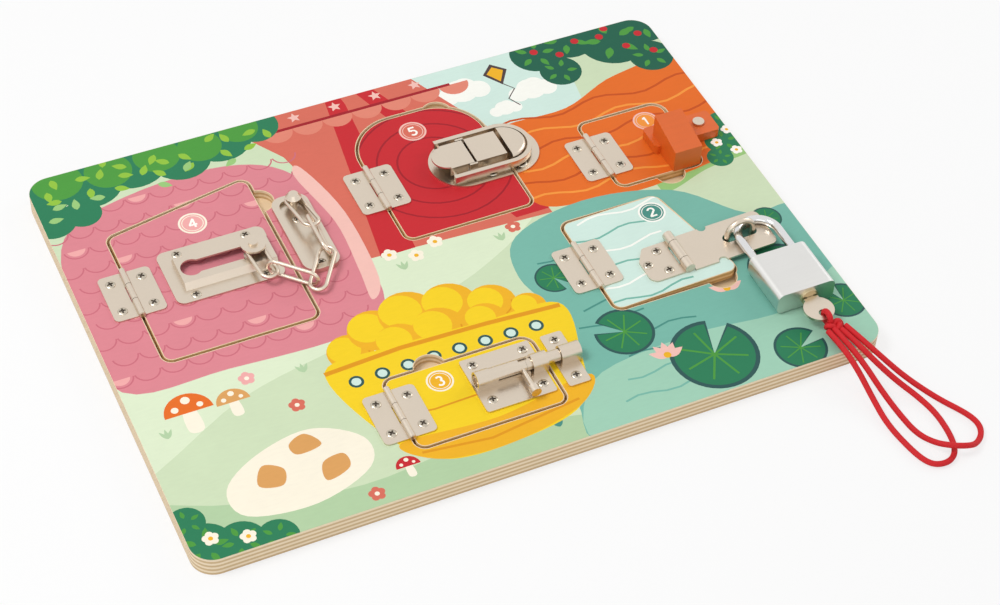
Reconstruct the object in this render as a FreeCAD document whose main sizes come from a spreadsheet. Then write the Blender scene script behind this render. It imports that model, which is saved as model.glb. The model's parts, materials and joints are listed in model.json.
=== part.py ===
import FreeCAD, Part
import Sketcher
import math
import os
import re

# Wooden busy board: a board of two plywood layers with five small doors, each
# with a hinge and a lock of its own. Millimetres. Every place on the board is
# measured from its front left corner at the bottom, and each finished piece is
# then moved so that the origin is the middle of the board's underside, with X
# to the right, Y to the back and Z up.

SIZES = {
    # the board
    "board_length": 400, "board_width": 298, "board_corner": 13,
    "frame_thickness": 6, "base_thickness": 6,
    # the doors: gap round them, play under them
    "door_gap": 1.6, "door_play": 0.3, "door_corner": 5, "notch_radius": 9,
    "door_1_left": 317.9, "door_1_right": 372, "door_1_front": 164, "door_1_back": 221,
    "door_1_notch_x": 350, "door_1_notch_y": 163.6,
    "door_2_left": 271.8, "door_2_front": 76.4, "door_2_back": 148.4,
    "door_2_right_front": 349, "door_2_right_back": 331.6,
    "door_2_notch_x": 337.5, "door_2_notch_y": 77, "door_2_ajar": 2,
    "door_3_left": 132, "door_3_right": 217.6, "door_3_front": 27.2, "door_3_back": 77.4,
    "door_3_notch_x": 159.5, "door_3_notch_y": 77.4,
    "door_4_left": 30.5, "door_4_right": 118.6, "door_4_front": 135.6,
    "door_4_left_back": 236.5, "door_4_right_back": 253.5,
    "door_4_notch_x": 119.2, "door_4_notch_y": 233,
    "door_5_left": 186.7, "door_5_right": 265, "door_5_front": 171, "door_5_back": 269.6,
    "door_5_arch": 29, "door_5_notch_x": 244.6, "door_5_notch_y": 264.2,
    # the butt hinges, alike on all five doors
    "hinge_1_x": 316.9, "hinge_1_y": 191, "hinge_2_x": 270.8, "hinge_2_y": 112.2,
    "hinge_3_x": 131, "hinge_3_y": 52.3, "hinge_4_x": 29.5, "hinge_4_y": 190.1,
    "hinge_5_x": 185.7, "hinge_5_y": 215.3,
    "leaf_reach": 15, "leaf_height": 35, "leaf_thickness": 1, "leaf_corner": 3,
    "knuckle_radius": 1.9, "knuckle_gap": 0.3, "barrel_length": 36.4,
    "hinge_pin_radius": 1, "hinge_pin_play": 0.05, "pin_head_radius": 1.7, "pin_head_height": 0.5,
    "hinge_screw_x": 9, "hinge_screw_y": 10.85,
    # the countersunk screws, alike everywhere
    "screw_head_radius": 2.6, "screw_head_height": 0.95, "screw_radius": 1.3, "screw_length": 5.9,
    "screw_play": 0.1, "recess_width": 0.6, "recess_span": 2.8, "recess_depth": 0.7,
    # door 1: the wooden turn latch
    "latch_overhang": 20, "latch_bar_length": 43.2, "latch_bar_front": 180.2, "latch_bar_back": 198,
    "latch_bar_height": 6, "latch_corner": 2.5, "latch_play": 0.3,
    "latch_grip_inset": 3.5, "latch_grip_width": 17.7, "latch_grip_front": 163.2,
    "latch_grip_back": 191, "latch_grip_low": 14.7, "latch_grip_high": 21,
    "latch_screw_inset": 9.8, "latch_screw_y": 189.8, "latch_screw_head": 3.5,
    "latch_screw_head_height": 1.2, "latch_screw_radius": 1.8, "latch_screw_depth": 4.5,
    # door 2: the hasp
    "hasp_x": 322, "hasp_reach": 23.5, "hasp_front": 85.3, "hasp_back": 111.5, "hasp_corner": 5,
    "hasp_thickness": 1.2, "hasp_barrel_radius": 3, "hasp_barrel_front": 85, "hasp_barrel_back": 114,
    "hasp_knuckle_1": 92.6, "hasp_knuckle_2": 106.4, "hasp_pin_radius": 1.5,
    "hasp_near_inset": 10.6, "hasp_far_inset": 3.7, "hasp_screw_pitch": 15.9,
    "strap_front": 84.6, "strap_back": 112.4, "strap_end": 378.4, "strap_corner": 4,
    "strap_waist_x": 343, "strap_waist_radius": 2.7,
    "strap_slot_left": 350, "strap_slot_right": 371.4, "strap_slot_width": 6.4,
    "staple_left": 352.5, "staple_right": 368.9, "staple_y": 98.7, "staple_radius": 1.7,
    "staple_top": 26.8, "staple_depth": 4.6,
    # the padlock
    "lock_x": 369.2, "lock_front": 38.2, "lock_width": 36, "lock_length": 33.4,
    "lock_thickness": 14, "lock_rise": 0.7, "lock_round": 4, "lock_edge": 0.6,
    "shackle_radius": 2.5, "shackle_reach": 12.2, "bow_y": 91.5, "shackle_play": 0.3,
    "toe_depth": 9, "heel_depth": 17,
    "plug_x": 371, "plug_radius": 4.6, "plug_length": 22, "plug_play": 0.1, "collar_height": 1.2,
    "keyway_width": 5, "keyway_height": 2, "keyway_depth": 14,
    "key_y": 27.2, "key_radius": 8.7, "key_thickness": 1.6, "key_hole_radius": 2.6,
    "key_hole_y": 23.4, "key_neck": 4.4, "blade_width": 4.4, "blade_end": 51,
    # the cord on the key
    "cord_radius": 1.65, "knot_x": 374.2, "knot_y": 14.6, "knot_z": 17, "knot_half_width": 7.2,
    "knot_half_length": 4.3, "knot_half_height": 3.9, "eye_loop_radius": 3.6,
    # door 3: the barrel bolt
    "bolt_left": 174.5, "bolt_right": 215.6, "bolt_front": 35, "bolt_back": 74,
    "bolt_thickness": 1.2, "bolt_corner": 1.5, "bolt_y": 54.4, "bolt_height": 5.5,
    "bolt_tube_left": 175.6, "bolt_tube_right": 206.5, "bolt_tube_radius": 4.5,
    "bolt_bore": 3.7, "bolt_loop_left": 208.2, "bolt_loop_right": 217.2, "bolt_loop_radius": 4.9,
    "bolt_collar": 183.8, "rod_radius": 3.4, "rod_left": 178, "rod_tip_gap": 0.3,
    "knob_x": 202.5, "knob_radius": 1.5, "knob_reach": 15.6, "knob_head_radius": 2.9,
    "knob_head_length": 4.6, "knob_ring": 4.6, "rod_neck": 2, "knob_slot_left": 187.4, "knob_slot_play": 0.35,
    "bolt_screw_left": 180.5, "bolt_screw_right": 210.3, "bolt_screw_front": 42.2,
    "bolt_screw_back": 68.8,
    "keeper_left": 222.6, "keeper_right": 235.4, "keeper_front": 34.6, "keeper_back": 73.6,
    "keeper_mouth": 225.2, "keeper_end": 237, "keeper_radius": 4.7,
    "keeper_screw_x": 229.3, "keeper_screw_front": 40.8, "keeper_screw_back": 68.4,
    # door 4: the chain guard
    "guard_left": 50.2, "guard_right": 113.8, "guard_front": 171.5, "guard_back": 213.5,
    "guard_corner": 5, "guard_thickness": 1.2, "channel_left": 57.5, "channel_right": 112,
    "channel_front": 182.6, "channel_back": 203, "channel_height": 5.2, "channel_slope": 3.2,
    "slot_y": 192.8, "slot_width": 9.6, "slot_end": 107, "keyhole_x": 65.2, "keyhole_radius": 6.3,
    "slider_x": 101.6, "slider_radius": 7.2, "slider_height": 1.3, "slider_guide": 4.1,
    "slider_neck": 2.2,
    "slider_foot": 5.6, "slider_foot_height": 1.2, "slider_boss": 2.6, "slider_boss_height": 1.5,
    "slider_lift": 3.2, "slider_play": 0.3,
    "guard_screw_left": 61.8, "guard_screw_right": 102.6, "guard_screw_back": 209.2,
    "guard_screw_front": 175.8,
    "wire_radius": 1.15, "link_width": 9.4, "link_length": 29.6,
    "anchor_left": 123.5, "anchor_right": 145.3, "anchor_front": 166, "anchor_back": 228.2,
    "anchor_corner": 7.5, "anchor_height": 3.4, "anchor_wall": 1.4, "anchor_floor": 1.2,
    "anchor_slope": 2.6, "stud_x": 136.3, "stud_y": 220.6, "stud_radius": 2.2,
    "stud_head_radius": 4.6, "stud_head_height": 2.4, "stud_height": 8.6,
    "anchor_screw_front": 172.6, "anchor_screw_back": 209.5,
    # door 5: the toggle latch
    "toggle_y": 217, "toggle_left": 241, "toggle_right": 267.8, "toggle_radius": 20.5,
    "toggle_plate": 1.2, "toggle_base_end": 264.6, "catch_start": 267,
    "bridge_left": 245.4, "bridge_width": 20.4, "bridge_height": 9, "toggle_sheet": 1.1,
    "lever_left": 221.4, "lever_right": 243.9, "lever_width": 18, "lever_pivot_x": 242.8,
    "lever_pivot_z": 7.3, "lever_wall": 1, "toggle_pin_radius": 0.9, "toggle_pin_play": 0.05,
    "ear_gap": 0.4, "ear_wall": 1.3, "ear_length": 5,
    "loop_pivot_x": 231, "loop_pivot_z": 5, "loop_inner": 14.3, "loop_outer": 17,
    "loop_low": 3.2, "loop_high": 7.4, "catch_radius": 13.4, "catch_height": 9.2, "catch_round": 2.4,
    "toggle_screw_x": 253.4, "catch_screw_x": 272.6, "toggle_screw_y": 14.6,
}

# The route of each loop of the cord, by hand: across the board from the knot,
# over its front edge, down to the floor, round, and back to the knot.
LOOP_A = [
    (368.7, 12.5, 17.5), (370, -1, 17.9), (372, -15, 13.1), (373.6, -30.2, 4.9),
    (373, -47.8, 1.9), (375.5, -67.7, 1.9), (378.4, -77.7, 1.9), (382.9, -82.3, 1.9),
    (390.7, -82.9, 1.9), (397.1, -78, 1.9), (400.6, -67.3, 1.9), (401.7, -50.9, 1.9),
    (398, -36.8, 2.9), (390.6, -25, 7.1), (383.4, -12.6, 13.5), (378.5, 0.2, 17.9),
    (376, 12.5, 17.5),
]
LOOP_B = [
    (372.5, 12.6, 17.7), (373.9, -1.2, 18.3), (376.7, -15.4, 13.9), (379.6, -29.7, 7.1),
    (382.3, -43.4, 2.7), (384, -59, 2.1), (387.8, -70.6, 5.1), (394, -77.6, 7.5), (402, -80.8, 7.1),
    (410, -78.4, 2.5), (416.6, -73.2, 1.9), (419.2, -66, 1.9), (416.7, -57, 1.9),
    (407.7, -42.6, 2.3), (396.4, -25.6, 7.3), (387.9, -10.8, 13.9), (382.2, 1.2, 18.1),
    (379.7, 12.6, 17.7),
]

# Each chain link as it lies: its middle, its heading in plan, its dip and its tilt.
LINKS = {
    "chain_link_1": ((102.3, 182.3, 18.9), -85, 1, 0),
    "chain_link_2": ((114.9, 165.4, 18.8), -42, 4, 92),
    "chain_link_3": ((131.6, 163.4, 18), 55, -9, -4),
    "chain_link_4": ((138.6, 186.2, 20.8), 90, -1, 62),
    "chain_link_5": ((137.5, 209.4, 19.2), -84, -6, -4),
}

doc = FreeCAD.newDocument("busy_board")
sheet = doc.addObject("Spreadsheet::Sheet", "sizes")
for row, (alias, number) in enumerate(SIZES.items(), start=1):
    sheet.set(f"A{row}", alias)
    sheet.set(f"B{row}", str(number))
    sheet.setAlias(f"B{row}", alias)
doc.recompute()

NODES = {}
TOP = "(base_thickness + frame_thickness)"


def size(alias):
    """The value of one cell of the sheet, as a plain number."""
    return float(getattr(sheet, alias))


def formula(text):
    """An expression with each alias written as a cell of the sheet."""
    pick = lambda match: "sizes." + match.group() if match.group() in SIZES else match.group()
    return re.sub(r"[a-z][a-z_0-9]*", pick, text)


def bind(thing, path, text):
    """Tie one property of a document object to the sheet."""
    thing.setExpression(path, formula(text))


def put(thing, place):
    """Tie the place of an object to three expressions."""
    for letter, text in zip("xyz", place):
        bind(thing, f"Placement.Base.{letter}", text)
    return thing


def box(name, corner, extent):
    """A box from its lowest corner."""
    thing = doc.addObject("Part::Box", name)
    for path, text in zip(("Length", "Width", "Height"), extent):
        bind(thing, path, text)
    return put(thing, corner)


TURNS = {
    "x": FreeCAD.Rotation(FreeCAD.Vector(0, 1, 0), 90),
    "y": FreeCAD.Rotation(FreeCAD.Vector(1, 0, 0), -90),
    "z": FreeCAD.Rotation(),
}


def rod(name, start, radius, length, along="z"):
    """A round rod from the middle of its first end."""
    thing = doc.addObject("Part::Cylinder", name)
    thing.Placement.Rotation = TURNS[along]
    bind(thing, "Radius", radius)
    bind(thing, "Height", length)
    return put(thing, start)


def cone(name, start, low_radius, high_radius, height):
    """An upright cone from the middle of its lower end."""
    thing = doc.addObject("Part::Cone", name)
    bind(thing, "Radius1", low_radius)
    bind(thing, "Radius2", high_radius)
    bind(thing, "Height", height)
    return put(thing, start)


def half_ring(name, centre, reach, radius, turn):
    """Half of a wire ring, which bulges along its own Y."""
    thing = doc.addObject("Part::Torus", name)
    thing.Placement.Rotation = turn
    bind(thing, "Radius1", reach)
    bind(thing, "Radius2", radius)
    thing.Angle3 = 180
    return put(thing, centre)


def join(name, *things):
    """One solid from several."""
    thing = doc.addObject("Part::MultiFuse", name)
    thing.Shapes = list(things)
    thing.Refine = True
    return thing


def cut(name, base, *tools):
    """A solid less the others."""
    thing = doc.addObject("Part::Cut", name)
    thing.Base = base
    thing.Tool = tools[0] if len(tools) == 1 else join(name + "_tools", *tools)
    thing.Refine = True
    return thing


def common(name, *things):
    """What several solids share."""
    thing = doc.addObject("Part::MultiCommon", name)
    thing.Shapes = list(things)
    return thing


def prism(name, corners, low, height, rounds=()):
    """An upright body over a straight-sided outline, some of its corners rounded."""
    body = doc.addObject("PartDesign::Body", name)
    sketch = body.newObject("Sketcher::SketchObject", name + "_outline")
    plane = next(f for f in body.Origin.OriginFeatures if f.Role == "XY_Plane")
    sketch.AttachmentSupport = [(plane, "")]
    sketch.MapMode = "FlatFace"
    count = len(corners)
    spots = []
    for index in range(count):
        turn = 2 * math.pi * index / count
        spots.append(FreeCAD.Vector(200 + 100 * math.cos(turn), 150 + 100 * math.sin(turn), 0))
    for index in range(count):
        sketch.addGeometry(Part.LineSegment(spots[index], spots[(index + 1) % count]), False)
    for index in range(count):
        sketch.addConstraint(Sketcher.Constraint("Coincident", index, 2, (index + 1) % count, 1))
    for index, (across, along) in enumerate(corners):
        for kind, text, now in (("DistanceX", across, spots[index].x), ("DistanceY", along, spots[index].y)):
            number = sketch.addConstraint(Sketcher.Constraint(kind, -1, 1, index, 1, now))
            bind(sketch, f"Constraints[{number}]", text)
    pad = body.newObject("PartDesign::Pad", name + "_pad")
    pad.Profile = sketch
    bind(pad, "Length", height)
    put(body, ("0", "0", low))
    doc.recompute()
    last = pad
    for number, (radius, which) in enumerate(rounds):
        places = [sketch.Geometry[index].StartPoint for index in which]
        edges = []
        for index, edge in enumerate(last.Shape.Edges, start=1):
            ends = [vertex.Point for vertex in edge.Vertexes]
            upright = len(ends) == 2 and abs(ends[0].z - ends[1].z) > 1e-3
            for spot in places:
                if upright and all(math.hypot(e.x - spot.x, e.y - spot.y) < 1e-4 for e in ends):
                    edges.append(f"Edge{index}")
        fillet = body.newObject("PartDesign::Fillet", f"{name}_round_{number}")
        fillet.Base = (last, edges)
        bind(fillet, "Radius", radius)
        doc.recompute()
        last = fillet
    return body


def rectangle(left, right, front, back):
    """The four corners of an upright rectangle, from the front left one."""
    return [(left, front), (right, front), (right, back), (left, back)]


def copies(name, thing, places):
    """Equal solids at several places, as one group."""
    doc.recompute()
    group = doc.addObject("Part::Feature", name)
    solids = []
    for place in places:
        solid = thing.Shape.copy()
        solid.translate(FreeCAD.Vector(*place))
        solids.append(solid)
    group.Shape = Part.makeCompound(solids)
    return group


def door_2_turn():
    """Door 2 stands slightly ajar: the turn about its hinge axis."""
    axis = FreeCAD.Vector(size("hinge_2_x"), 0, size("base_thickness") + size("frame_thickness")
                          + size("knuckle_radius"))
    turn = FreeCAD.Rotation(FreeCAD.Vector(0, 1, 0), -size("door_2_ajar"))
    return FreeCAD.Placement(FreeCAD.Vector(), turn, axis)


def node(label, thing, ajar=False):
    """Name a finished piece and move it to the board's own frame."""
    doc.recompute()
    if thing.TypeId != "Part::Feature" and not thing.Placement.isIdentity():
        whole = doc.addObject("Part::Compound", label + "_whole")
        whole.Links = [thing]
        thing = whole
    thing.Label = label
    doc.recompute()
    shift = FreeCAD.Placement(
        FreeCAD.Vector(-size("board_length") / 2, -size("board_width") / 2, 0), FreeCAD.Rotation())
    if ajar:
        place = shift.multiply(door_2_turn()).multiply(thing.Placement)
        thing.Placement = place
    elif thing.TypeId == "Part::Feature":
        thing.Placement = shift.multiply(thing.Placement)
    else:
        bind(thing, "Placement.Base.x", "-board_length / 2")
        bind(thing, "Placement.Base.y", "-board_width / 2")
    NODES[label] = thing
    return thing


# The screw and the hole that it needs, both at the origin with the head's top at 0.
screw = cut(
    "screw",
    join("screw_blank",
         cone("screw_head", ("0", "0", "-screw_head_height"), "screw_radius + 0.2", "screw_head_radius",
              "screw_head_height"),
         rod("screw_shank", ("0", "0", "-screw_head_height - screw_length + screw_head_height"),
             "screw_radius", "screw_length - 0.05")),
    box("recess_across", ("-recess_span / 2", "-recess_width / 2", "-recess_depth"),
        ("recess_span", "recess_width", "recess_depth + 1")),
    box("recess_along", ("-recess_width / 2", "-recess_span / 2", "-recess_depth"),
        ("recess_width", "recess_span", "recess_depth + 1")))
screw_hole = join(
    "screw_hole",
    cone("sink", ("0", "0", "-screw_head_height - 0.05"), "screw_radius + 0.2 + screw_play",
         "screw_head_radius + screw_play", "screw_head_height + 0.06"),
    rod("pilot", ("0", "0", "-screw_length - 0.1"), "screw_radius + screw_play", "screw_length"))
doc.recompute()

top = size("base_thickness") + size("frame_thickness")


def hinge_screws(number, side):
    """Places of the two screws in one leaf: side -1 on the board, 1 on the door."""
    across = size(f"hinge_{number}_x") + side * size("hinge_screw_x")
    middle = size(f"hinge_{number}_y")
    level = top + size("leaf_thickness")
    return [(across, middle + way * size("hinge_screw_y"), level) for way in (-1, 1)]


def flat(*spots, lift=0.0):
    """Places on top of a plate of the given thickness."""
    return [(size(a) if isinstance(a, str) else a, size(b) if isinstance(b, str) else b, top + lift)
            for a, b in spots]


hasp_middle = (size("hasp_front") + size("hasp_back")) / 2
hasp_near = size("hasp_x") - size("hasp_near_inset")
hasp_far = size("hasp_x") - size("hasp_reach") + size("hasp_far_inset")
hasp_screws = [
    (hasp_near, hasp_middle + size("hasp_screw_pitch") / 2, top + size("hasp_thickness")),
    (hasp_near, hasp_middle - size("hasp_screw_pitch") / 2, top + size("hasp_thickness")),
    (hasp_far, hasp_middle, top + size("hasp_thickness")),
]
bolt_screws = flat(("bolt_screw_left", "bolt_screw_front"), ("bolt_screw_right", "bolt_screw_front"),
                   ("bolt_screw_left", "bolt_screw_back"), ("bolt_screw_right", "bolt_screw_back"),
                   lift=size("bolt_thickness"))
guard_screws = flat(("guard_screw_left", "guard_screw_front"), ("guard_screw_right", "guard_screw_front"),
                    ("guard_screw_left", "guard_screw_back"), ("guard_screw_right", "guard_screw_back"),
                    lift=size("guard_thickness"))
toggle_screws = flat(("toggle_screw_x", size("toggle_y") - size("toggle_screw_y")),
                     ("toggle_screw_x", size("toggle_y") + size("toggle_screw_y")),
                     lift=size("toggle_plate"))
catch_screws = flat(("catch_screw_x", size("toggle_y") - size("toggle_screw_y")),
                    ("catch_screw_x", size("toggle_y") + size("toggle_screw_y")),
                    lift=size("toggle_plate"))
keeper_screws = flat(("keeper_screw_x", "keeper_screw_front"), ("keeper_screw_x", "keeper_screw_back"),
                     lift=size("bolt_thickness"))
anchor_middle = (size("anchor_left") + size("anchor_right")) / 2
anchor_screws = flat((anchor_middle, "anchor_screw_front"), (anchor_middle, "anchor_screw_back"),
                     lift=size("anchor_floor"))
board_screws = catch_screws + keeper_screws + anchor_screws
for number in range(1, 6):
    board_screws = board_screws + hinge_screws(number, -1)
door_screws = {
    1: hinge_screws(1, 1),
    2: hinge_screws(2, 1) + hasp_screws,
    3: hinge_screws(3, 1) + bolt_screws,
    4: hinge_screws(4, 1) + guard_screws,
    5: hinge_screws(5, 1) + toggle_screws,
}

# The outline of each door, and how its corners are rounded.
OUTLINES = {
    1: (rectangle("door_1_left", "door_1_right", "door_1_front", "door_1_back"),
        {"door_corner": (0, 1, 3), "door_corner + 3": (2,)}),
    2: ([("door_2_left", "door_2_front"), ("door_2_right_front", "door_2_front"),
         ("door_2_right_back", "door_2_back"), ("door_2_left", "door_2_back")],
        {"door_corner": (0, 1, 2, 3)}),
    3: (rectangle("door_3_left", "door_3_right", "door_3_front", "door_3_back"),
        {"door_corner": (0, 1, 3), "door_corner + 2": (2,)}),
    4: ([("door_4_left", "door_4_front"), ("door_4_right", "door_4_front"),
         ("door_4_right", "door_4_right_back"), ("door_4_left", "door_4_left_back")],
        {"door_corner": (0, 1, 2, 3)}),
    5: (rectangle("door_5_left", "door_5_right", "door_5_front", "door_5_back"),
        {"door_corner": (0, 1), "door_5_arch": (2, 3)}),
}


def door_panel(number):
    """One door: the piece sawn out of the frame layer."""
    corners, rounds = OUTLINES[number]
    blank = prism(f"door_{number}_blank", corners, "base_thickness + door_play",
                  "frame_thickness - door_play", list(rounds.items()))
    holes = copies(f"door_{number}_holes", screw_hole, door_screws[number])
    return node(f"door_{number}", cut(f"door_{number}_panel", blank, holes), ajar=number == 2)


def opening(number):
    """The hole that a door leaves in the frame, with its finger notch."""
    corners, rounds = OUTLINES[number]
    wide = []
    for index, (across, along) in enumerate(corners):
        across_gap = " - door_gap" if index in (0, 3) else " + door_gap"
        along_gap = " - door_gap" if index in (0, 1) else " + door_gap"
        wide.append((across + across_gap, along + along_gap))
    softer = [(radius + " + door_gap", which) for radius, which in rounds.items()]
    hole = prism(f"opening_{number}", wide, "base_thickness - 1", "frame_thickness + 2", softer)
    notch = rod(f"notch_{number}", (f"door_{number}_notch_x", f"door_{number}_notch_y",
                                    "base_thickness - 1"), "notch_radius", "frame_thickness + 2")
    return [hole, notch]


# The two layers of the board
board_outline = rectangle("0", "board_length", "0", "board_width")
node("back_panel", prism("back_layer", board_outline, "0", "base_thickness",
                         [("board_corner", (0, 1, 2, 3))]))
frame_blank = prism("frame_blank", board_outline, "base_thickness", "frame_thickness",
                    [("board_corner", (0, 1, 2, 3))])
frame_tools = []
for number in range(1, 6):
    frame_tools.extend(opening(number))
staple_holes = [
    rod(f"staple_hole_{side}", (f"staple_{side}", "staple_y", TOP + " - staple_depth"),
        "staple_radius + screw_play", "staple_depth + 1") for side in ("left", "right")]
latch_right = "(door_1_right + latch_overhang)"
latch_left = f"({latch_right} - latch_bar_length)"
latch_grip_left = f"({latch_left} + latch_grip_inset)"
latch_pivot = f"({latch_right} - latch_screw_inset)"
latch_hole = rod("latch_pilot", (latch_pivot, "latch_screw_y", TOP + " - latch_screw_depth"),
                 "latch_screw_radius + screw_play", "latch_screw_depth + 1")
frame_tools.extend(staple_holes + [latch_hole, copies("board_holes", screw_hole, board_screws)])
node("front_panel", cut("front_layer", frame_blank, *frame_tools))
node("board_screws", copies("board_screw_group", screw, board_screws))
for number in range(1, 6):
    door_panel(number)
    node(f"door_{number}_screws", copies(f"door_{number}_screw_group", screw, door_screws[number]),
         ajar=number == 2)


# The hinges: three knuckles, the middle one on the door's leaf
def hinge_leaf(number, side):
    """One leaf with its knuckles: side -1 on the board, 1 on the door."""
    who = "board" if side < 0 else "door"
    stem = f"hinge_{number}_{who}"
    axis, middle = f"hinge_{number}_x", f"hinge_{number}_y"
    near, far = f"{axis} + {side} * knuckle_gap", f"{axis} + {side} * leaf_reach"
    front, back = f"{middle} - leaf_height / 2", f"{middle} + leaf_height / 2"
    left, right = (far, near) if side < 0 else (near, far)
    outer = (0, 3) if side < 0 else (1, 2)
    plate = prism(stem + "_plate", rectangle(left, right, front, back), TOP, "leaf_thickness",
                  [("leaf_corner", outer)])
    third = "barrel_length / 3"
    level = TOP + " + knuckle_radius"
    wall = "knuckle_radius"
    start = f"{middle} - barrel_length / 2"
    ends = [(start, f"{third} - knuckle_gap / 2"),
            (f"{start} + 2 * {third} + knuckle_gap / 2", f"{third} - knuckle_gap / 2")]
    centre = [(f"{start} + {third} + knuckle_gap / 2", f"{third} - knuckle_gap")]
    mine, other = (ends, centre) if side < 0 else (centre, ends)
    rolls = [rod(f"{stem}_roll_{i}", (axis, a, level), wall, b, "y") for i, (a, b) in enumerate(mine)]
    reliefs = []
    for i, (a, b) in enumerate(other):
        reliefs.append(box(f"{stem}_relief_{i}",
                           (f"{axis} - knuckle_radius - knuckle_gap", f"{a} - knuckle_gap", TOP + " - 1"),
                           ("2 * knuckle_radius + 2 * knuckle_gap", f"{b} + 2 * knuckle_gap", "6")))
    bore = rod(stem + "_bore", (axis, f"{start} - 1", level), "hinge_pin_radius + hinge_pin_play",
               "barrel_length + 2", "y")
    holes = copies(stem + "_holes", screw_hole, hinge_screws(number, side))
    leaf = join(stem + "_blank", cut(stem + "_trimmed", plate, *reliefs), *rolls)
    return node(f"{stem}_leaf", cut(stem, leaf, bore, holes), ajar=number == 2 and side > 0)


def hinge_pin(number):
    """The pin with its two flattened heads."""
    axis, middle = f"hinge_{number}_x", f"hinge_{number}_y"
    level = TOP + " + knuckle_radius"
    start = f"{middle} - barrel_length / 2"
    return join(f"hinge_{number}_pin",
                rod(f"pin_{number}_shaft", (axis, start, level), "hinge_pin_radius", "barrel_length", "y"),
                rod(f"pin_{number}_front", (axis, f"{start} - pin_head_height", level),
                    "pin_head_radius", "pin_head_height", "y"),
                rod(f"pin_{number}_back", (axis, f"{start} + barrel_length", level),
                    "pin_head_radius", "pin_head_height", "y"))


for number in range(1, 6):
    hinge_leaf(number, -1)
    hinge_leaf(number, 1)
doc.recompute()
pins = doc.addObject("Part::Compound", "hinge_pin_group")
pins.Links = [hinge_pin(number) for number in range(1, 6)]
node("hinge_pins", pins)

# Door 1: the wooden turn latch, a flat bar with a sloping grip across it
latch_low = TOP + " + latch_play"
bar = prism("latch_bar_blank",
            rectangle(latch_left, latch_right, "latch_bar_front", "latch_bar_back"),
            latch_low, "latch_bar_height", [("latch_corner", (0, 1, 2, 3))])
bar_hole = rod("latch_bar_hole", (latch_pivot, "latch_screw_y", TOP),
               "latch_screw_radius + latch_play", "latch_bar_height + 2")
node("latch_bar", cut("latch_bar_drilled", bar, bar_hole))
grip_box = box("grip_box", (latch_grip_left, "latch_grip_front", latch_low),
               ("latch_grip_width", "latch_grip_back - latch_grip_front", "latch_grip_high"))
grip_cutter = prism("grip_cutter", [("0", TOP + " + latch_grip_low"),
                                    ("latch_grip_back - latch_grip_front", TOP + " + latch_grip_high"),
                                    ("latch_grip_back - latch_grip_front", TOP + " + latch_grip_high + 9"),
                                    ("0", TOP + " + latch_grip_high + 9")], "0", "latch_grip_width + 2")
grip_cutter.Placement.Rotation = FreeCAD.Rotation(FreeCAD.Vector(1, 1, 1), 120)
put(grip_cutter, (latch_grip_left + " - 1", "latch_grip_front", "0"))
bar_seat = box("grip_seat", (latch_left + " - 1", "latch_bar_front", TOP),
               ("latch_bar_length + 2", "latch_bar_back - latch_bar_front + 2",
                "latch_play + latch_bar_height"))
node("latch_grip", cut("latch_grip_cut", grip_box, grip_cutter, bar_seat))
latch_screw_low = TOP + " + latch_play + latch_bar_height + latch_play"
node("latch_screw", join(
    "latch_screw_solid",
    rod("latch_screw_top", (latch_pivot, "latch_screw_y", latch_screw_low), "latch_screw_head",
        "latch_screw_head_height"),
    rod("latch_screw_shank", (latch_pivot, "latch_screw_y", TOP + " - latch_screw_depth + 0.2"),
        "latch_screw_radius", "latch_screw_depth + 2 * latch_play + latch_bar_height")))

# Door 2: the hasp's base on the door, its pin, the strap and the staple
hasp_level = TOP + " + hasp_barrel_radius"
hasp_base = prism(
    "hasp_base_plate",
    [("hasp_x - hasp_reach", "hasp_front"), ("hasp_x - 0.5", "hasp_front"),
     ("hasp_x - 0.5", "hasp_back"), ("hasp_x - hasp_reach + 6", "hasp_back"), ("hasp_x - hasp_reach", "hasp_back - 9")],
    TOP, "hasp_thickness", [("hasp_corner", (0,)), ("hasp_corner / 2", (3, 4))])
hasp_relief = box("hasp_base_relief", ("hasp_x - hasp_barrel_radius - 0.4", "hasp_knuckle_1 - 0.3", TOP + " - 1"),
                  ("2 * hasp_barrel_radius + 2", "hasp_knuckle_2 - hasp_knuckle_1 + 0.6", "9"))
hasp_blank = join(
    "hasp_base_blank", cut("hasp_base_trimmed", hasp_base, hasp_relief),
    rod("hasp_roll_front", ("hasp_x", "hasp_barrel_front", hasp_level), "hasp_barrel_radius",
        "hasp_knuckle_1 - hasp_barrel_front - 0.3", "y"),
    rod("hasp_roll_back", ("hasp_x", "hasp_knuckle_2 + 0.3", hasp_level), "hasp_barrel_radius",
        "hasp_barrel_back - hasp_knuckle_2 - 0.3", "y"))
node("hasp_base", cut(
    "hasp_base_solid", hasp_blank,
    rod("hasp_base_bore", ("hasp_x", "hasp_barrel_front - 1", hasp_level), "hasp_pin_radius + 0.05",
        "hasp_barrel_back - hasp_barrel_front + 2", "y"),
    copies("hasp_holes", screw_hole, hasp_screws)), ajar=True)
node("hasp_pin", rod("hasp_pin_solid", ("hasp_x", "hasp_barrel_front", hasp_level), "hasp_pin_radius",
                     "hasp_barrel_back - hasp_barrel_front", "y"), ajar=True)

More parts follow.
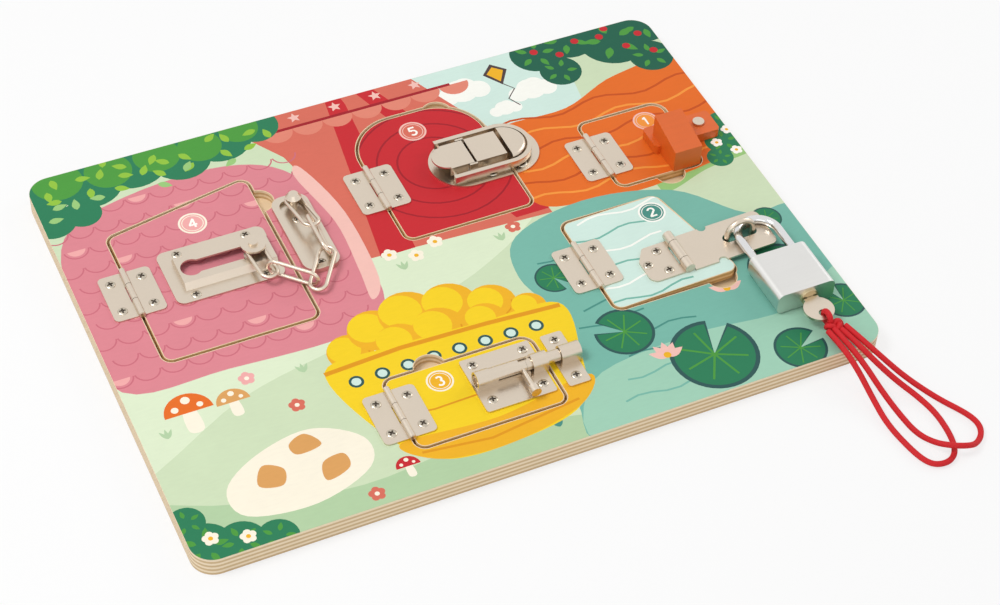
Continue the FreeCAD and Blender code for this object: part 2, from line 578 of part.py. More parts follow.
strap_plate = prism(
    "strap_plate",
    [("hasp_x + 0.5", "strap_front"), ("strap_end", "strap_front"), ("strap_end", "strap_back"),
     ("hasp_x + 0.5", "strap_back")],
    TOP, "hasp_thickness", [("strap_corner", (1, 2))])
strap_reliefs = [
    box("strap_relief_front", ("hasp_x - 1", "strap_front - 1", TOP + " - 1"),
        ("hasp_barrel_radius + 1.4", "hasp_knuckle_1 - strap_front + 1.3", "9")),
    box("strap_relief_back", ("hasp_x - 1", "hasp_knuckle_2 - 0.3", TOP + " - 1"),
        ("hasp_barrel_radius + 1.4", "strap_back - hasp_knuckle_2 + 1.3", "9"))]
waists = [rod(f"strap_waist_{side}", ("strap_waist_x", f"strap_{side}", TOP + " - 1"),
              "strap_waist_radius", "hasp_thickness + 2") for side in ("front", "back")]
slot_end = "strap_slot_width / 2"
strap_slot = [
    box("strap_slot_middle", (f"strap_slot_left + {slot_end}", f"staple_y - {slot_end}", TOP + " - 1"),
        (f"strap_slot_right - strap_slot_left - 2 * {slot_end}", "strap_slot_width", "hasp_thickness + 2")),
    rod("strap_slot_first", (f"strap_slot_left + {slot_end}", "staple_y", TOP + " - 1"), slot_end,
        "hasp_thickness + 2"),
    rod("strap_slot_last", (f"strap_slot_right - {slot_end}", "staple_y", TOP + " - 1"), slot_end,
        "hasp_thickness + 2")]
strap_blank = join("strap_blank", cut("strap_trimmed", strap_plate, *strap_reliefs, *waists, *strap_slot),
                   rod("strap_roll", ("hasp_x", "hasp_knuckle_1", hasp_level), "hasp_barrel_radius",
                       "hasp_knuckle_2 - hasp_knuckle_1", "y"))
strap = cut("strap_solid", strap_blank,
            rod("strap_bore", ("hasp_x", "hasp_knuckle_1 - 1", hasp_level), "hasp_pin_radius + 0.05",
                "hasp_knuckle_2 - hasp_knuckle_1 + 2", "y"))
node("hasp_strap", strap, ajar=True)
staple_reach = "(staple_right - staple_left) / 2"
upright = FreeCAD.Rotation(FreeCAD.Vector(1, 0, 0), 90)
staple_legs = [
    rod(f"staple_leg_{side}", (f"staple_{side}", "staple_y", TOP + " - staple_depth + 0.2"),
        "staple_radius", f"staple_top - {staple_reach} - {TOP} + staple_depth - 0.2")
    for side in ("left", "right")]
node("staple", join(
    "staple_solid", *staple_legs,
    half_ring("staple_arch", ("(staple_left + staple_right) / 2", "staple_y", f"staple_top - {staple_reach}"),
              staple_reach, "staple_radius", upright)))

# The padlock lies flat on the board and its shackle goes through the staple
lock_left = "lock_x - lock_width / 2"
lock_low = TOP + " + lock_rise"
lock_level = TOP + " + lock_rise + lock_thickness / 2"
lock_back = "(lock_front + lock_length)"
lock_blank = box("lock_blank", (lock_left, "lock_front", lock_low),
                 ("lock_width", "lock_length", "lock_thickness"))
doc.recompute()
lock_round = doc.addObject("Part::Fillet", "lock_round_edges")
lock_round.Base = lock_blank
long_edges = []
for index, edge in enumerate(lock_blank.Shape.Edges, start=1):
    ends = [vertex.Point for vertex in edge.Vertexes]
    if abs(ends[0].y - ends[1].y) > 1:
        long_edges.append((index, size("lock_round"), size("lock_round")))
lock_round.Edges = long_edges
lock_bores = [
    rod("toe_bore", ("lock_x - shackle_reach", f"{lock_back} - toe_depth - shackle_play", lock_level),
        "shackle_radius + shackle_play", "toe_depth + shackle_play + 1", "y"),
    rod("heel_bore", ("lock_x + shackle_reach", f"{lock_back} - heel_depth - shackle_play", lock_level),
        "shackle_radius + shackle_play", "heel_depth + shackle_play + 1", "y"),
    rod("plug_bore", ("plug_x", "lock_front - 1", lock_level), "plug_radius + plug_play",
        "plug_length + plug_play + 1", "y")]
node("padlock_body", cut("lock_solid", lock_round, *lock_bores))
node("padlock_shackle", join(
    "shackle_solid",
    half_ring("shackle_bow", ("lock_x", "bow_y", lock_level), "shackle_reach", "shackle_radius",
              FreeCAD.Rotation()),
    rod("shackle_toe", ("lock_x - shackle_reach", f"{lock_back} - toe_depth", lock_level),
        "shackle_radius", f"bow_y - {lock_back} + toe_depth", "y"),
    rod("shackle_heel", ("lock_x + shackle_reach", f"{lock_back} - heel_depth", lock_level),
        "shackle_radius", f"bow_y - {lock_back} + heel_depth", "y")))
plug_blank = join(
    "plug_blank",
    rod("plug_barrel", ("plug_x", "lock_front", lock_level), "plug_radius", "plug_length", "y"),
    rod("plug_collar", ("plug_x", "lock_front - collar_height", lock_level), "plug_radius + 0.6",
        "collar_height", "y"))
keyway = box("keyway", ("plug_x - keyway_width / 2", "lock_front - collar_height - 1",
                        f"{lock_level} - keyway_height / 2"),
             ("keyway_width", "keyway_depth + collar_height + 1", "keyway_height"))
node("padlock_plug", cut("plug_solid", plug_blank, keyway))
key_low = f"{lock_level} - key_thickness / 2"
key_blank = join(
    "key_blank",
    rod("key_bow", ("plug_x", "key_y", key_low), "key_radius", "key_thickness"),
    box("key_shoulder", ("plug_x - key_neck", "key_y", key_low),
        ("2 * key_neck", "lock_front - collar_height - 0.6 - key_y", "key_thickness")),
    box("key_blade", ("plug_x - blade_width / 2", "key_y", key_low),
        ("blade_width", "blade_end - key_y", "key_thickness")))
node("padlock_key", cut("key_solid", key_blank,
                        rod("key_eye", ("plug_x + 0.6", "key_hole_y", f"{key_low} - 1"), "key_hole_radius",
                            "key_thickness + 2")))


# The red cord: a knot under the key's eye and two loose loops
def cord_path(route):
    """Straight runs joined by tangent arcs, each as large as its two runs allow."""
    points = [FreeCAD.Vector(*point) for point in route]
    edges = []
    radii = []
    start = points[0]
    for before, corner, after in zip(points, points[1:], points[2:]):
        to_here = (corner - before).normalize()
        onward = (after - corner).normalize()
        turn = to_here.getAngle(onward)
        reach = 0.45 * min((corner - before).Length, (after - corner).Length)
        radii.append(reach / math.tan(turn / 2))
        arc_start = corner - to_here * reach
        arc_end = corner + onward * reach
        inward = (onward - to_here).normalize()
        middle = corner + inward * (radii[-1] / math.cos(turn / 2) - radii[-1])
        edges.append(Part.LineSegment(start, arc_start).toShape())
        edges.append(Part.Arc(arc_start, middle, arc_end).toShape())
        start = arc_end
    edges.append(Part.LineSegment(start, points[-1]).toShape())
    return Part.Wire(edges), radii


def cord_loop(label, route):
    """One loop of cord as a tube along its route."""
    wire, radii = cord_path(route)
    first = FreeCAD.Vector(*route[1]) - FreeCAD.Vector(*route[0])
    section = Part.Wire([Part.makeCircle(size("cord_radius"), FreeCAD.Vector(*route[0]), first)])
    tube = wire.makePipeShell([section], True, False)
    loop = doc.addObject("Part::Feature", label + "_tube")
    loop.Shape = tube
    area = math.pi * size("cord_radius") ** 2
    print(label, "length", round(wire.Length, 1), "volume share", round(tube.Volume / (wire.Length * area), 4),
          "radii", " ".join(f"{radius:.1f}" for radius in radii))
    return node(label, loop)


knot = doc.addObject("Part::Ellipsoid", "knot")
bind(knot, "Radius1", "knot_half_height")
bind(knot, "Radius2", "knot_half_width")
bind(knot, "Radius3", "knot_half_length")
put(knot, ("knot_x", "knot_y", "knot_z"))
eye_loop = doc.addObject("Part::Torus", "key_eye_loop")
bind(eye_loop, "Radius1", "eye_loop_radius")
bind(eye_loop, "Radius2", "cord_radius")
eye_loop.Placement.Rotation = TURNS["x"]
put(eye_loop, ("plug_x + 1.2", "key_hole_y - eye_loop_radius + 0.4", lock_level))
node("key_cord_knot", join("knot_solid", knot, eye_loop))
cord_loop("key_cord_loop_a", LOOP_A)
cord_loop("key_cord_loop_b", LOOP_B)

# Door 3: the barrel bolt on the door and its keeper on the board
bolt_level = TOP + " + bolt_height"
bolt_plate = prism("bolt_plate", rectangle("bolt_left", "bolt_right", "bolt_front", "bolt_back"),
                   TOP, "bolt_thickness", [("bolt_corner", (0, 1, 2, 3))])
bolt_tubes = [
    rod("bolt_tube", ("bolt_tube_left", "bolt_y", bolt_level), "bolt_tube_radius",
        "bolt_tube_right - bolt_tube_left", "x"),
    rod("bolt_collar_ring", ("bolt_tube_left", "bolt_y", bolt_level), "bolt_loop_radius",
        "bolt_collar - bolt_tube_left", "x"),
    rod("bolt_loop", ("bolt_loop_left", "bolt_y", bolt_level), "bolt_loop_radius",
        "bolt_loop_right - bolt_loop_left", "x")]
bolt_feet = [
    box("bolt_foot_1", ("bolt_tube_left", "bolt_y - bolt_tube_radius", TOP),
        ("bolt_tube_right - bolt_tube_left", "2 * bolt_tube_radius", "bolt_height")),
    box("bolt_foot_2", ("bolt_loop_left", "bolt_y - bolt_loop_radius", TOP + " + 0.3"),
        ("bolt_loop_right - bolt_loop_left", "2 * bolt_loop_radius", "bolt_height - 0.3"))]
knob_room = "(knob_radius + knob_slot_play)"
bolt_cuts = [
    rod("bolt_bore_hole", ("bolt_left - 1", "bolt_y", bolt_level), "bolt_bore",
        "bolt_loop_right - bolt_left + 3", "x"),
    box("knob_slide_slot", ("knob_slot_left", "bolt_y - bolt_loop_radius - 1", f"{bolt_level} - {knob_room}"),
        ("bolt_tube_right - knob_slot_left + 1", "bolt_loop_radius + 1", f"2 * {knob_room}")),
    box("knob_turn_slot", (f"knob_x - {knob_room}", "bolt_y - bolt_loop_radius - 1",
                           f"{bolt_level} - {knob_room}"),
        (f"bolt_tube_right - knob_x + {knob_room} + 1", f"bolt_loop_radius + 1 + {knob_room}",
         "bolt_loop_radius + 5")),
    copies("bolt_holes", screw_hole, bolt_screws)]
node("bolt_base", cut("bolt_base_solid", join("bolt_base_blank", bolt_plate, *bolt_tubes, *bolt_feet),
                      *bolt_cuts))
ring_room = "(knob_ring / 2 + 0.1)"
node("bolt_rod", join(
    "bolt_rod_solid",
    rod("bolt_rod_rear", ("rod_left", "bolt_y", bolt_level), "rod_radius",
        f"knob_x - {ring_room} - rod_left", "x"),
    rod("bolt_rod_neck", ("rod_left + 1", "bolt_y", bolt_level), "rod_neck",
        "keeper_mouth - rod_tip_gap - rod_left - 2", "x"),
    rod("bolt_rod_front", (f"knob_x + {ring_room}", "bolt_y", bolt_level), "rod_radius",
        f"keeper_mouth - rod_tip_gap - knob_x - {ring_room}", "x")))
node("bolt_knob", cut(
    "bolt_knob_solid",
    join("bolt_knob_blank",
         rod("knob_collar", ("knob_x - knob_ring / 2", "bolt_y", bolt_level), "rod_radius", "knob_ring", "x"),
         rod("knob_stem", ("knob_x", "bolt_y - knob_reach", bolt_level), "knob_radius",
             "knob_reach - rod_neck - 0.3", "y"),
         rod("knob_head", ("knob_x", "bolt_y - knob_reach - knob_head_length", bolt_level),
             "knob_head_radius", "knob_head_length", "y")),
    rod("knob_bore", ("knob_x - knob_ring", "bolt_y", bolt_level), "rod_neck + 0.05", "2 * knob_ring", "x")))
keeper_plate = prism("keeper_plate",
                     rectangle("keeper_left", "keeper_right", "keeper_front", "keeper_back"),
                     TOP, "bolt_thickness", [("bolt_corner", (0, 1, 2, 3))])
node("bolt_keeper", cut(
    "keeper_solid",
    join("keeper_blank", keeper_plate,
         rod("keeper_tube", ("keeper_mouth", "bolt_y", bolt_level), "keeper_radius",
             "keeper_end - keeper_mouth", "x"),
         box("keeper_foot", ("keeper_mouth", "bolt_y - keeper_radius", TOP + " + 0.3"),
             ("keeper_end - keeper_mouth", "2 * keeper_radius", "bolt_height - 0.3"))),
    rod("keeper_bore", ("keeper_mouth - 1", "bolt_y", bolt_level), "bolt_bore",
        "keeper_end - keeper_mouth + 2", "x"),
    copies("keeper_holes", screw_hole, keeper_screws)))

# Door 4: the chain guard, its slider, the chain and the anchor on the board
guard_plate = prism("guard_plate_blank",
                    rectangle("guard_left", "guard_right", "guard_front", "guard_back"),
                    TOP, "guard_thickness", [("guard_corner", (0, 1, 2, 3))])
channel_outer = [("channel_front - channel_slope", "0"), ("channel_back + channel_slope", "0"),
                 ("channel_back", "channel_height"), ("channel_front", "channel_height")]
channel_inner = [("channel_front - channel_slope + guard_thickness * 1.2", "0"),
                 ("channel_back + channel_slope - guard_thickness * 1.2", "0"),
                 ("channel_back - guard_thickness * 0.5", "channel_height - guard_thickness"),
                 ("channel_front + guard_thickness * 0.5", "channel_height - guard_thickness")]


def along_board(name, corners, left, length):
    """A bar whose end outline is drawn as across the board and up from its top."""
    bar_body = prism(name, corners, "0", length)
    bar_body.Placement.Rotation = FreeCAD.Rotation(FreeCAD.Vector(1, 1, 1), 120)
    return put(bar_body, (left, "0", TOP))


channel = along_board("channel_bar", channel_outer, "channel_left", "channel_right - channel_left")
channel_room = along_board("channel_room", channel_inner, "channel_left + guard_thickness * 1.5",
                           "channel_right - channel_left")
slot_low = TOP + " - 1"
guard_cuts = [
    channel_room,
    box("guard_slot", ("keyhole_x", "slot_y - slot_width / 2", slot_low),
        ("slot_end - slot_width / 2 - keyhole_x", "slot_width", "channel_height + 2")),
    rod("guard_slot_end", ("slot_end - slot_width / 2", "slot_y", slot_low), "slot_width / 2",
        "channel_height + 2"),
    rod("guard_keyhole", ("keyhole_x", "slot_y", slot_low), "keyhole_radius", "channel_height + 2"),
    copies("guard_holes", screw_hole, guard_screws)]
node("guard_plate", cut("guard_solid", join("guard_blank", guard_plate, channel), *guard_cuts))
slider_seat = TOP + " + channel_height + slider_play"
foot_low = TOP + " + slider_play"
node("guard_slider", join(
    "slider_solid",
    rod("slider_foot_disc", ("slider_x", "slot_y", foot_low), "slider_foot", "slider_foot_height"),
    rod("slider_guide", ("slider_x", "slot_y", foot_low), "slider_guide", "channel_height"),
    rod("slider_neck", ("slider_x", "slot_y", foot_low), "slider_neck",
        "channel_height + slider_lift + slider_height"),
    rod("slider_disc", ("slider_x", "slot_y", f"{slider_seat} + slider_lift"), "slider_radius",
        "slider_height"),
    rod("slider_boss_disc", ("slider_x", "slot_y", f"{slider_seat} + slider_lift + slider_height"),
        "slider_boss", "slider_boss_height")))


def chain_link(label, middle, heading, dip, tilt):
    """One long link of round wire; it is drawn flat and then laid in its place."""
    reach = "(link_width / 2)"
    straight = "(link_length / 2 - link_width / 2)"
    right_turn = FreeCAD.Rotation(FreeCAD.Vector(0, 0, 1), -90)
    left_turn = FreeCAD.Rotation(FreeCAD.Vector(0, 0, 1), 90)
    link = join(
        label + "_wire",
        half_ring(label + "_bend_1", (straight, "0", "0"), reach, "wire_radius", right_turn),
        half_ring(label + "_bend_2", (f"-{straight}", "0", "0"), reach, "wire_radius", left_turn),
        rod(label + "_side_1", (f"-{straight}", reach, "0"), "wire_radius", f"2 * {straight}", "x"),
        rod(label + "_side_2", (f"-{straight}", f"-{reach}", "0"), "wire_radius", f"2 * {straight}", "x"))
    turn = (FreeCAD.Rotation(FreeCAD.Vector(0, 0, 1), heading)
            .multiply(FreeCAD.Rotation(FreeCAD.Vector(0, 1, 0), dip))
            .multiply(FreeCAD.Rotation(FreeCAD.Vector(1, 0, 0), tilt)))
    link.Label = label
    link.Placement = FreeCAD.Placement(
        FreeCAD.Vector(middle[0] - size("board_length") / 2, middle[1] - size("board_width") / 2,
                       middle[2]), turn)
    NODES[label] = link


for link_name, link_place in LINKS.items():
    chain_link(link_name, *link_place)

anchor_blank = prism("anchor_blank",
                     rectangle("anchor_left", "anchor_right", "anchor_front", "anchor_back"),
                     TOP, "anchor_height", [("anchor_corner", (0, 1, 2, 3))])
anchor_room = prism("anchor_room",
                    rectangle("anchor_left + anchor_wall + anchor_slope",
                              "anchor_right - anchor_wall - anchor_slope",
                              "anchor_front + anchor_wall + anchor_slope",
                              "anchor_back - anchor_wall - anchor_slope"),
                    TOP + " + anchor_floor", "anchor_height",
                    [("anchor_corner - anchor_slope", (0, 1, 2, 3))])
node("anchor_plate", cut("anchor_solid", anchor_blank, anchor_room,
                         copies("anchor_holes", screw_hole, anchor_screws)))
node("anchor_stud", join(
    "stud_solid",
    rod("stud_stem", ("stud_x", "stud_y", TOP + " + anchor_floor"), "stud_radius",
        "stud_height - anchor_floor"),
    cone("stud_head", ("stud_x", "stud_y", TOP + " + stud_height"), "stud_head_radius",
         "stud_head_radius * 0.6", "stud_head_height")))

# Door 5: the toggle latch on the door and its catch on the board
toggle_level = TOP + " + toggle_plate"
plate_disc = rod("toggle_disc", ("toggle_left", "toggle_y", TOP), "toggle_radius", "toggle_plate")
plate_slab = box("toggle_slab", ("toggle_left", "toggle_y - toggle_radius", TOP),
                 ("toggle_base_end - toggle_left", "2 * toggle_radius", "toggle_plate"))
bridge = box("bridge_block", ("bridge_left", "toggle_y - bridge_width / 2", TOP),
             ("toggle_base_end - bridge_left", "bridge_width", "bridge_height"))
bridge_room = box("bridge_room", ("bridge_left - 1", "toggle_y - bridge_width / 2 + toggle_sheet",
                                  toggle_level),
                  ("toggle_base_end - bridge_left + 2", "bridge_width - 2 * toggle_sheet",
                   "bridge_height - toggle_plate - toggle_sheet"))
ears = []
for side, sign in (("front", -1), ("back", 1)):
    inner = "(lever_width / 2 + lever_wall + ear_gap)"
    place = f"toggle_y + {inner}" if sign > 0 else f"toggle_y - {inner} - ear_wall"
    ears.append(box(f"ear_{side}", ("lever_pivot_x - ear_length / 2", place, TOP),
                    ("ear_length", "ear_wall", "lever_pivot_z + toggle_pin_radius + 0.9")))
pivot_bore = rod("pivot_bore", ("lever_pivot_x", "toggle_y - toggle_radius", TOP + " + lever_pivot_z"),
                 "toggle_pin_radius + toggle_pin_play", "2 * toggle_radius", "y")
node("toggle_base", cut(
    "toggle_base_solid", join("toggle_base_blank", plate_disc, plate_slab, bridge, *ears),
    bridge_room, pivot_bore, copies("toggle_holes", screw_hole, toggle_screws)))
pin_reach = "(lever_width / 2 + lever_wall + ear_gap + ear_wall)"
node("toggle_pin", rod("toggle_pin_solid", ("lever_pivot_x", f"toggle_y - {pin_reach}",
                                            TOP + " + lever_pivot_z"),
                       "toggle_pin_radius", f"2 * {pin_reach}", "y"))
lever_top = TOP + " + bridge_height"
lever_nose = rod("lever_nose", ("lever_left + lever_width / 2", "toggle_y", f"{lever_top} - toggle_sheet"),
                 "lever_width / 2", "toggle_sheet")
lever_slab = box("lever_slab", ("lever_left + lever_width / 2", "toggle_y - lever_width / 2",
                                f"{lever_top} - toggle_sheet"),
                 ("lever_right - lever_left - lever_width / 2", "lever_width", "toggle_sheet"))
lever_sides = []
for side, place in (("front", "toggle_y - lever_width / 2 - lever_wall"),
                    ("back", "toggle_y + lever_width / 2")):
    lever_sides.append(box(f"lever_side_{side}", ("loop_pivot_x - 1.9", place, TOP + " + loop_pivot_z - 1.9"),
                           ("lever_right - loop_pivot_x + 1.9", "lever_wall",
                            "bridge_height - loop_pivot_z + 1.9")))
lever_trim = box("lever_trim", ("lever_pivot_x - 3", "toggle_y - lever_width / 2 - 2",
                                TOP + " + loop_pivot_z - 3"),
                 ("5", "lever_width + 4", "lever_pivot_z - loop_pivot_z + 3 - toggle_pin_radius - 0.8"))
loop_pin_reach = "(loop_inner + 0.5)"
loop_pins = rod("loop_pin_bore", ("loop_pivot_x", f"toggle_y - {loop_pin_reach}", TOP + " + loop_pivot_z"),
                "toggle_pin_radius + toggle_pin_play", f"2 * {loop_pin_reach}", "y")
node("toggle_lever", cut(
    "toggle_lever_solid", join("toggle_lever_blank", lever_nose, lever_slab, *lever_sides),
    lever_trim,
    rod("lever_bore", ("lever_pivot_x", "toggle_y - toggle_radius", TOP + " + lever_pivot_z"),
        "toggle_pin_radius + toggle_pin_play", "2 * toggle_radius", "y"),
    loop_pins))
loop_low, loop_tall = TOP + " + loop_low", "loop_high - loop_low"


def loop_half(name, radius, left):
    """The outline of the loop out to one radius, as a disc and a slab."""
    return join(name,
                rod(name + "_end", ("toggle_right - 1.2", "toggle_y", loop_low), radius, loop_tall),
                box(name + "_arms", (left, f"toggle_y - {radius}", loop_low),
                    (f"toggle_right - 1.2 - ({left})", f"2 * {radius}", loop_tall)))


loop_ring = cut("loop_ring", loop_half("loop_out", "loop_outer", "loop_pivot_x - 2.2"),
                loop_half("loop_in", "loop_inner", "loop_pivot_x - 4"))
loop_pegs = []
for side, place in (("front", "toggle_y - loop_inner - 0.3"),
                    ("back", "toggle_y + lever_width / 2 - 0.2")):
    loop_pegs.append(rod(f"loop_peg_{side}", ("loop_pivot_x", place, TOP + " + loop_pivot_z"),
                         "toggle_pin_radius", "loop_inner + 0.5 - lever_width / 2", "y"))
node("toggle_loop", join("toggle_loop_solid", loop_ring, *loop_pegs))
catch_disc = rod("catch_disc", ("toggle_right", "toggle_y", TOP), "toggle_radius", "toggle_plate")
catch_side = box("catch_side", ("toggle_right - toggle_radius - 1", "toggle_y - toggle_radius - 1", TOP + " - 1"),
                 ("catch_start - toggle_right + toggle_radius + 1", "2 * toggle_radius + 2",
                  "catch_height + 3"))
catch_lug = rod("catch_lug", ("toggle_right - 1.2", "toggle_y", TOP), "catch_radius", "catch_height")
doc.recompute()
catch_round = doc.addObject("Part::Fillet", "catch_lug_round")
catch_round.Base = catch_lug
rims = [(index, size("catch_round"), size("catch_round"))
        for index, edge in enumerate(catch_lug.Shape.Edges, start=1)
        if edge.Curve.TypeId == "Part::GeomCircle" and edge.CenterOfMass.z > top + 1]
catch_round.Edges = rims
node("toggle_catch", cut("toggle_catch_solid", join("catch_blank", catch_disc, catch_round),
                         catch_side, copies("catch_holes", screw_hole, catch_screws)))

# Check every object, then write each piece to its own file
doc.recompute()
faults = [thing.Name for thing in doc.Objects if "Invalid" in thing.State or "Error" in thing.State]
for label, thing in NODES.items():
    if thing.Shape.isNull() or not thing.Shape.isValid() or not thing.Shape.Solids:
        faults.append(label)
if faults:
    raise SystemExit("failed: " + ", ".join(faults))
os.makedirs("parts", exist_ok=True)
for label, thing in NODES.items():
    thing.Shape.exportStep(f"parts/{label}.step")
print(len(NODES), "pieces written")
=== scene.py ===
import json
import logging
import math
from dataclasses import dataclass, field
from enum import Enum

import bmesh
import bpy
from mathutils import Matrix, Vector
from mathutils.geometry import delaunay_2d_cdt

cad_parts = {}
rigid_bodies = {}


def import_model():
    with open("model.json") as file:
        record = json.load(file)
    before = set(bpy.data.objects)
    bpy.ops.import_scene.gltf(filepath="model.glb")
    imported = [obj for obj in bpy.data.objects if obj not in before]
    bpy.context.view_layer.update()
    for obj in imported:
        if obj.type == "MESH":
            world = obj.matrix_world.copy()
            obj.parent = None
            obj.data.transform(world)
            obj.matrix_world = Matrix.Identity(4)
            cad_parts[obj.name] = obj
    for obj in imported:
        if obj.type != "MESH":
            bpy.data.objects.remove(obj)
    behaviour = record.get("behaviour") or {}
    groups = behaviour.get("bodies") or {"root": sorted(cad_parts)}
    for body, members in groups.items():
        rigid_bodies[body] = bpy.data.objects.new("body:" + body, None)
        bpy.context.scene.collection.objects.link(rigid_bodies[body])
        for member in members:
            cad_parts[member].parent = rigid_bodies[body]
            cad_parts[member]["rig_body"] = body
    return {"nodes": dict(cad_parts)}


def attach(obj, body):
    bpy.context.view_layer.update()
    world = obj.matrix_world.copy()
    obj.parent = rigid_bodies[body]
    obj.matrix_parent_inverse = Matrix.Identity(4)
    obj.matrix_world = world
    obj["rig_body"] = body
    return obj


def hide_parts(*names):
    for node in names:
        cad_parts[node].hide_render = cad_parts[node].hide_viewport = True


LOG = logging.getLogger("busy_board")
MM = 0.001
Point = tuple[float, float]
Route = tuple[tuple[float, float, float], ...]
Socket = bpy.types.NodeSocket

# The board, in millimetres from its front left corner at the underside
BOARD_LENGTH = 400.0
BOARD_WIDTH = 298.0
BOARD_TOP = 12.0
PLY_PAIR = 0.003
# The print: its thickness, the bare rim along a cut and along the board's edge, and the least opening
INK = 0.05
RIM = 0.45
BOARD_RIM = 0.1
LEAST_OPENING = 60.0
# How near vertices are merged, and how near the top one counts as on it, in metres
WELD = 1e-6
FLAT = 2e-5
SCREW_TOP = 0.0002
# How far edges are rounded, in metres
WOOD_ROUND = 0.0006
METAL_ROUND = 0.00025
HINGE_2 = (270.8, 13.9)
DOOR_2_AJAR = 2.0


@dataclass(frozen=True)
class Finish:
    """The look of one metal, wood or cloth surface.

    Args:
        colour: linear base colour.
        roughness: middle roughness.
        metallic: 1 for metals.
        grain: scale of the fine texture, in waves per metre.
        relief: strength of the bump.
        spread: how far the colour varies.
    """

    colour: tuple[float, float, float]
    roughness: float
    metallic: float
    grain: float
    relief: float
    spread: float


def linear(red: int, green: int, blue: int) -> tuple[float, float, float]:
    """Turn a display colour into a linear one.

    Args:
        red, green, blue: parts from 0 to 255.

    Returns:
        The three linear parts.
    """
    parts = []
    for part in (red, green, blue):
        share = part / 255
        parts.append(share / 12.92 if share <= 0.04045 else ((share + 0.055) / 1.055) ** 2.4)
    return tuple(parts)


NICKEL = Finish(linear(216, 203, 186), 0.30, 1.0, 900.0, 0.10, 0.05)
SCREW = Finish(linear(196, 186, 170), 0.24, 1.0, 1200.0, 0.05, 0.05)
# Darker steel for the screws' cross recesses: painted shade where shade falls in the recess
RECESS_PAINTED_SHADE = Finish(linear(92, 84, 76), 0.4, 1.0, 1200.0, 0.05, 0.05)
CHROME = Finish(linear(222, 222, 222), 0.10, 1.0, 500.0, 0.01, 0.02)
LOCK = Finish(linear(222, 221, 218), 0.3, 1.0, 700.0, 0.06, 0.04)
BRASS = Finish(linear(214, 196, 158), 0.28, 1.0, 900.0, 0.05, 0.05)
ORANGE_WOOD = Finish(linear(216, 96, 24), 0.42, 0.0, 260.0, 0.25, 0.16)
CORD_RED = Finish(linear(203, 14, 26), 0.72, 0.0, 1500.0, 0.5, 0.20)

INKS = {
    "mint": (203, 219, 184), "pale_mint": (218, 231, 200), "sage": (176, 204, 162),
    "fresh": (150, 196, 120), "lime": (142, 190, 62), "green": (74, 150, 60),
    "dark_green": (40, 122, 84), "deep_green": (24, 92, 70), "pink": (216, 132, 142),
    "rose": (201, 108, 122), "pale_pink": (236, 168, 166), "blush": (240, 190, 180),
    "coral": (212, 108, 90), "red": (196, 38, 46), "dark_red": (158, 26, 38),
    "brick": (222, 132, 112), "orange": (226, 108, 34), "dark_orange": (196, 80, 22),
    "light_orange": (240, 150, 60), "sky": (206, 230, 220), "cloud": (246, 246, 238),
    "teal": (118, 180, 164), "dark_teal": (72, 140, 128), "pale_teal": (206, 230, 220),
    "deep_teal": (44, 84, 82), "shallow": (158, 204, 180), "yellow": (242, 206, 32), "amber": (236, 176, 34),
    "gold": (222, 150, 24), "cream": (246, 238, 218), "tan": (216, 158, 92),
    "plum": (74, 58, 58), "white": (250, 248, 240),
}
Shape = tuple[str, list[Point]]


def disc(x: float, y: float, radius: float, count: int = 28) -> list[Point]:
    """A round outline.

    Args:
        x, y: middle on the board.
        radius: its radius.
        count: number of corners.

    Returns:
        The outline's points.
    """
    turns = [2 * math.pi * step / count for step in range(count)]
    return [(x + radius * math.cos(turn), y + radius * math.sin(turn)) for turn in turns]


def smooth(points: list[Point], steps: int = 6) -> list[Point]:
    """A closed smooth outline through some points.

    Args:
        points: the points it goes through.
        steps: parts of each stretch.

    Returns:
        The outline's points.
    """
    outline = []
    count = len(points)
    for index in range(count):
        a, b, c, d = (points[(index + shift) % count] for shift in (-1, 0, 1, 2))
        for step in range(steps):
            share = step / steps
            pair = []
            for axis in (0, 1):
                pair.append(0.5 * (2 * b[axis] + (c[axis] - a[axis]) * share
                                   + (2 * a[axis] - 5 * b[axis] + 4 * c[axis] - d[axis]) * share ** 2
                                   + (3 * b[axis] - a[axis] - 3 * c[axis] + d[axis]) * share ** 3))
            outline.append((pair[0], pair[1]))
    return outline


def leaf(x: float, y: float, length: float, width: float, lean: float) -> list[Point]:
    """A pointed leaf from its stalk end.

    Args:
        x, y: stalk end.
        length, width: its size.
        lean: direction in degrees.

    Returns:
        The outline's points.
    """
    tilt = math.radians(lean)
    points = []
    for side in (1, -1):
        for step in range(6):
            share = step / 6 if side > 0 else 1 - step / 6
            along = share * length
            out = side * width / 2 * math.sin(math.pi * share ** 0.8)
            points.append((x + along * math.cos(tilt) - out * math.sin(tilt),
                           y + along * math.sin(tilt) + out * math.cos(tilt)))
    return points


def stroke(points: list[Point], width: float) -> list[Point]:
    """A thick line through some points, with square ends.

    Args:
        points: the line's points.
        width: its width.

    Returns:
        The outline's points.
    """
    left, right = [], []
    for index, point in enumerate(points):
        before = points[max(index - 1, 0)]
        after = points[min(index + 1, len(points) - 1)]
        run = math.hypot(after[0] - before[0], after[1] - before[1]) or 1
        out = ((before[1] - after[1]) / run * width / 2, (after[0] - before[0]) / run * width / 2)
        left.append((point[0] + out[0], point[1] + out[1]))
        right.append((point[0] - out[0], point[1] - out[1]))
    return left + right[::-1]


def arc(x: float, y: float, radius: float, start: float, end: float, count: int = 12) -> list[Point]:
    """Points along an arc.

    Args:
        x, y: its middle.
        radius: its radius.
        start, end: its ends in degrees.
        count: number of stretches.

    Returns:
        The points.
    """
    points = []
    for step in range(count + 1):
        turn = math.radians(start + (end - start) * step / count)
        points.append((x + radius * math.cos(turn), y + radius * math.sin(turn)))
    return points


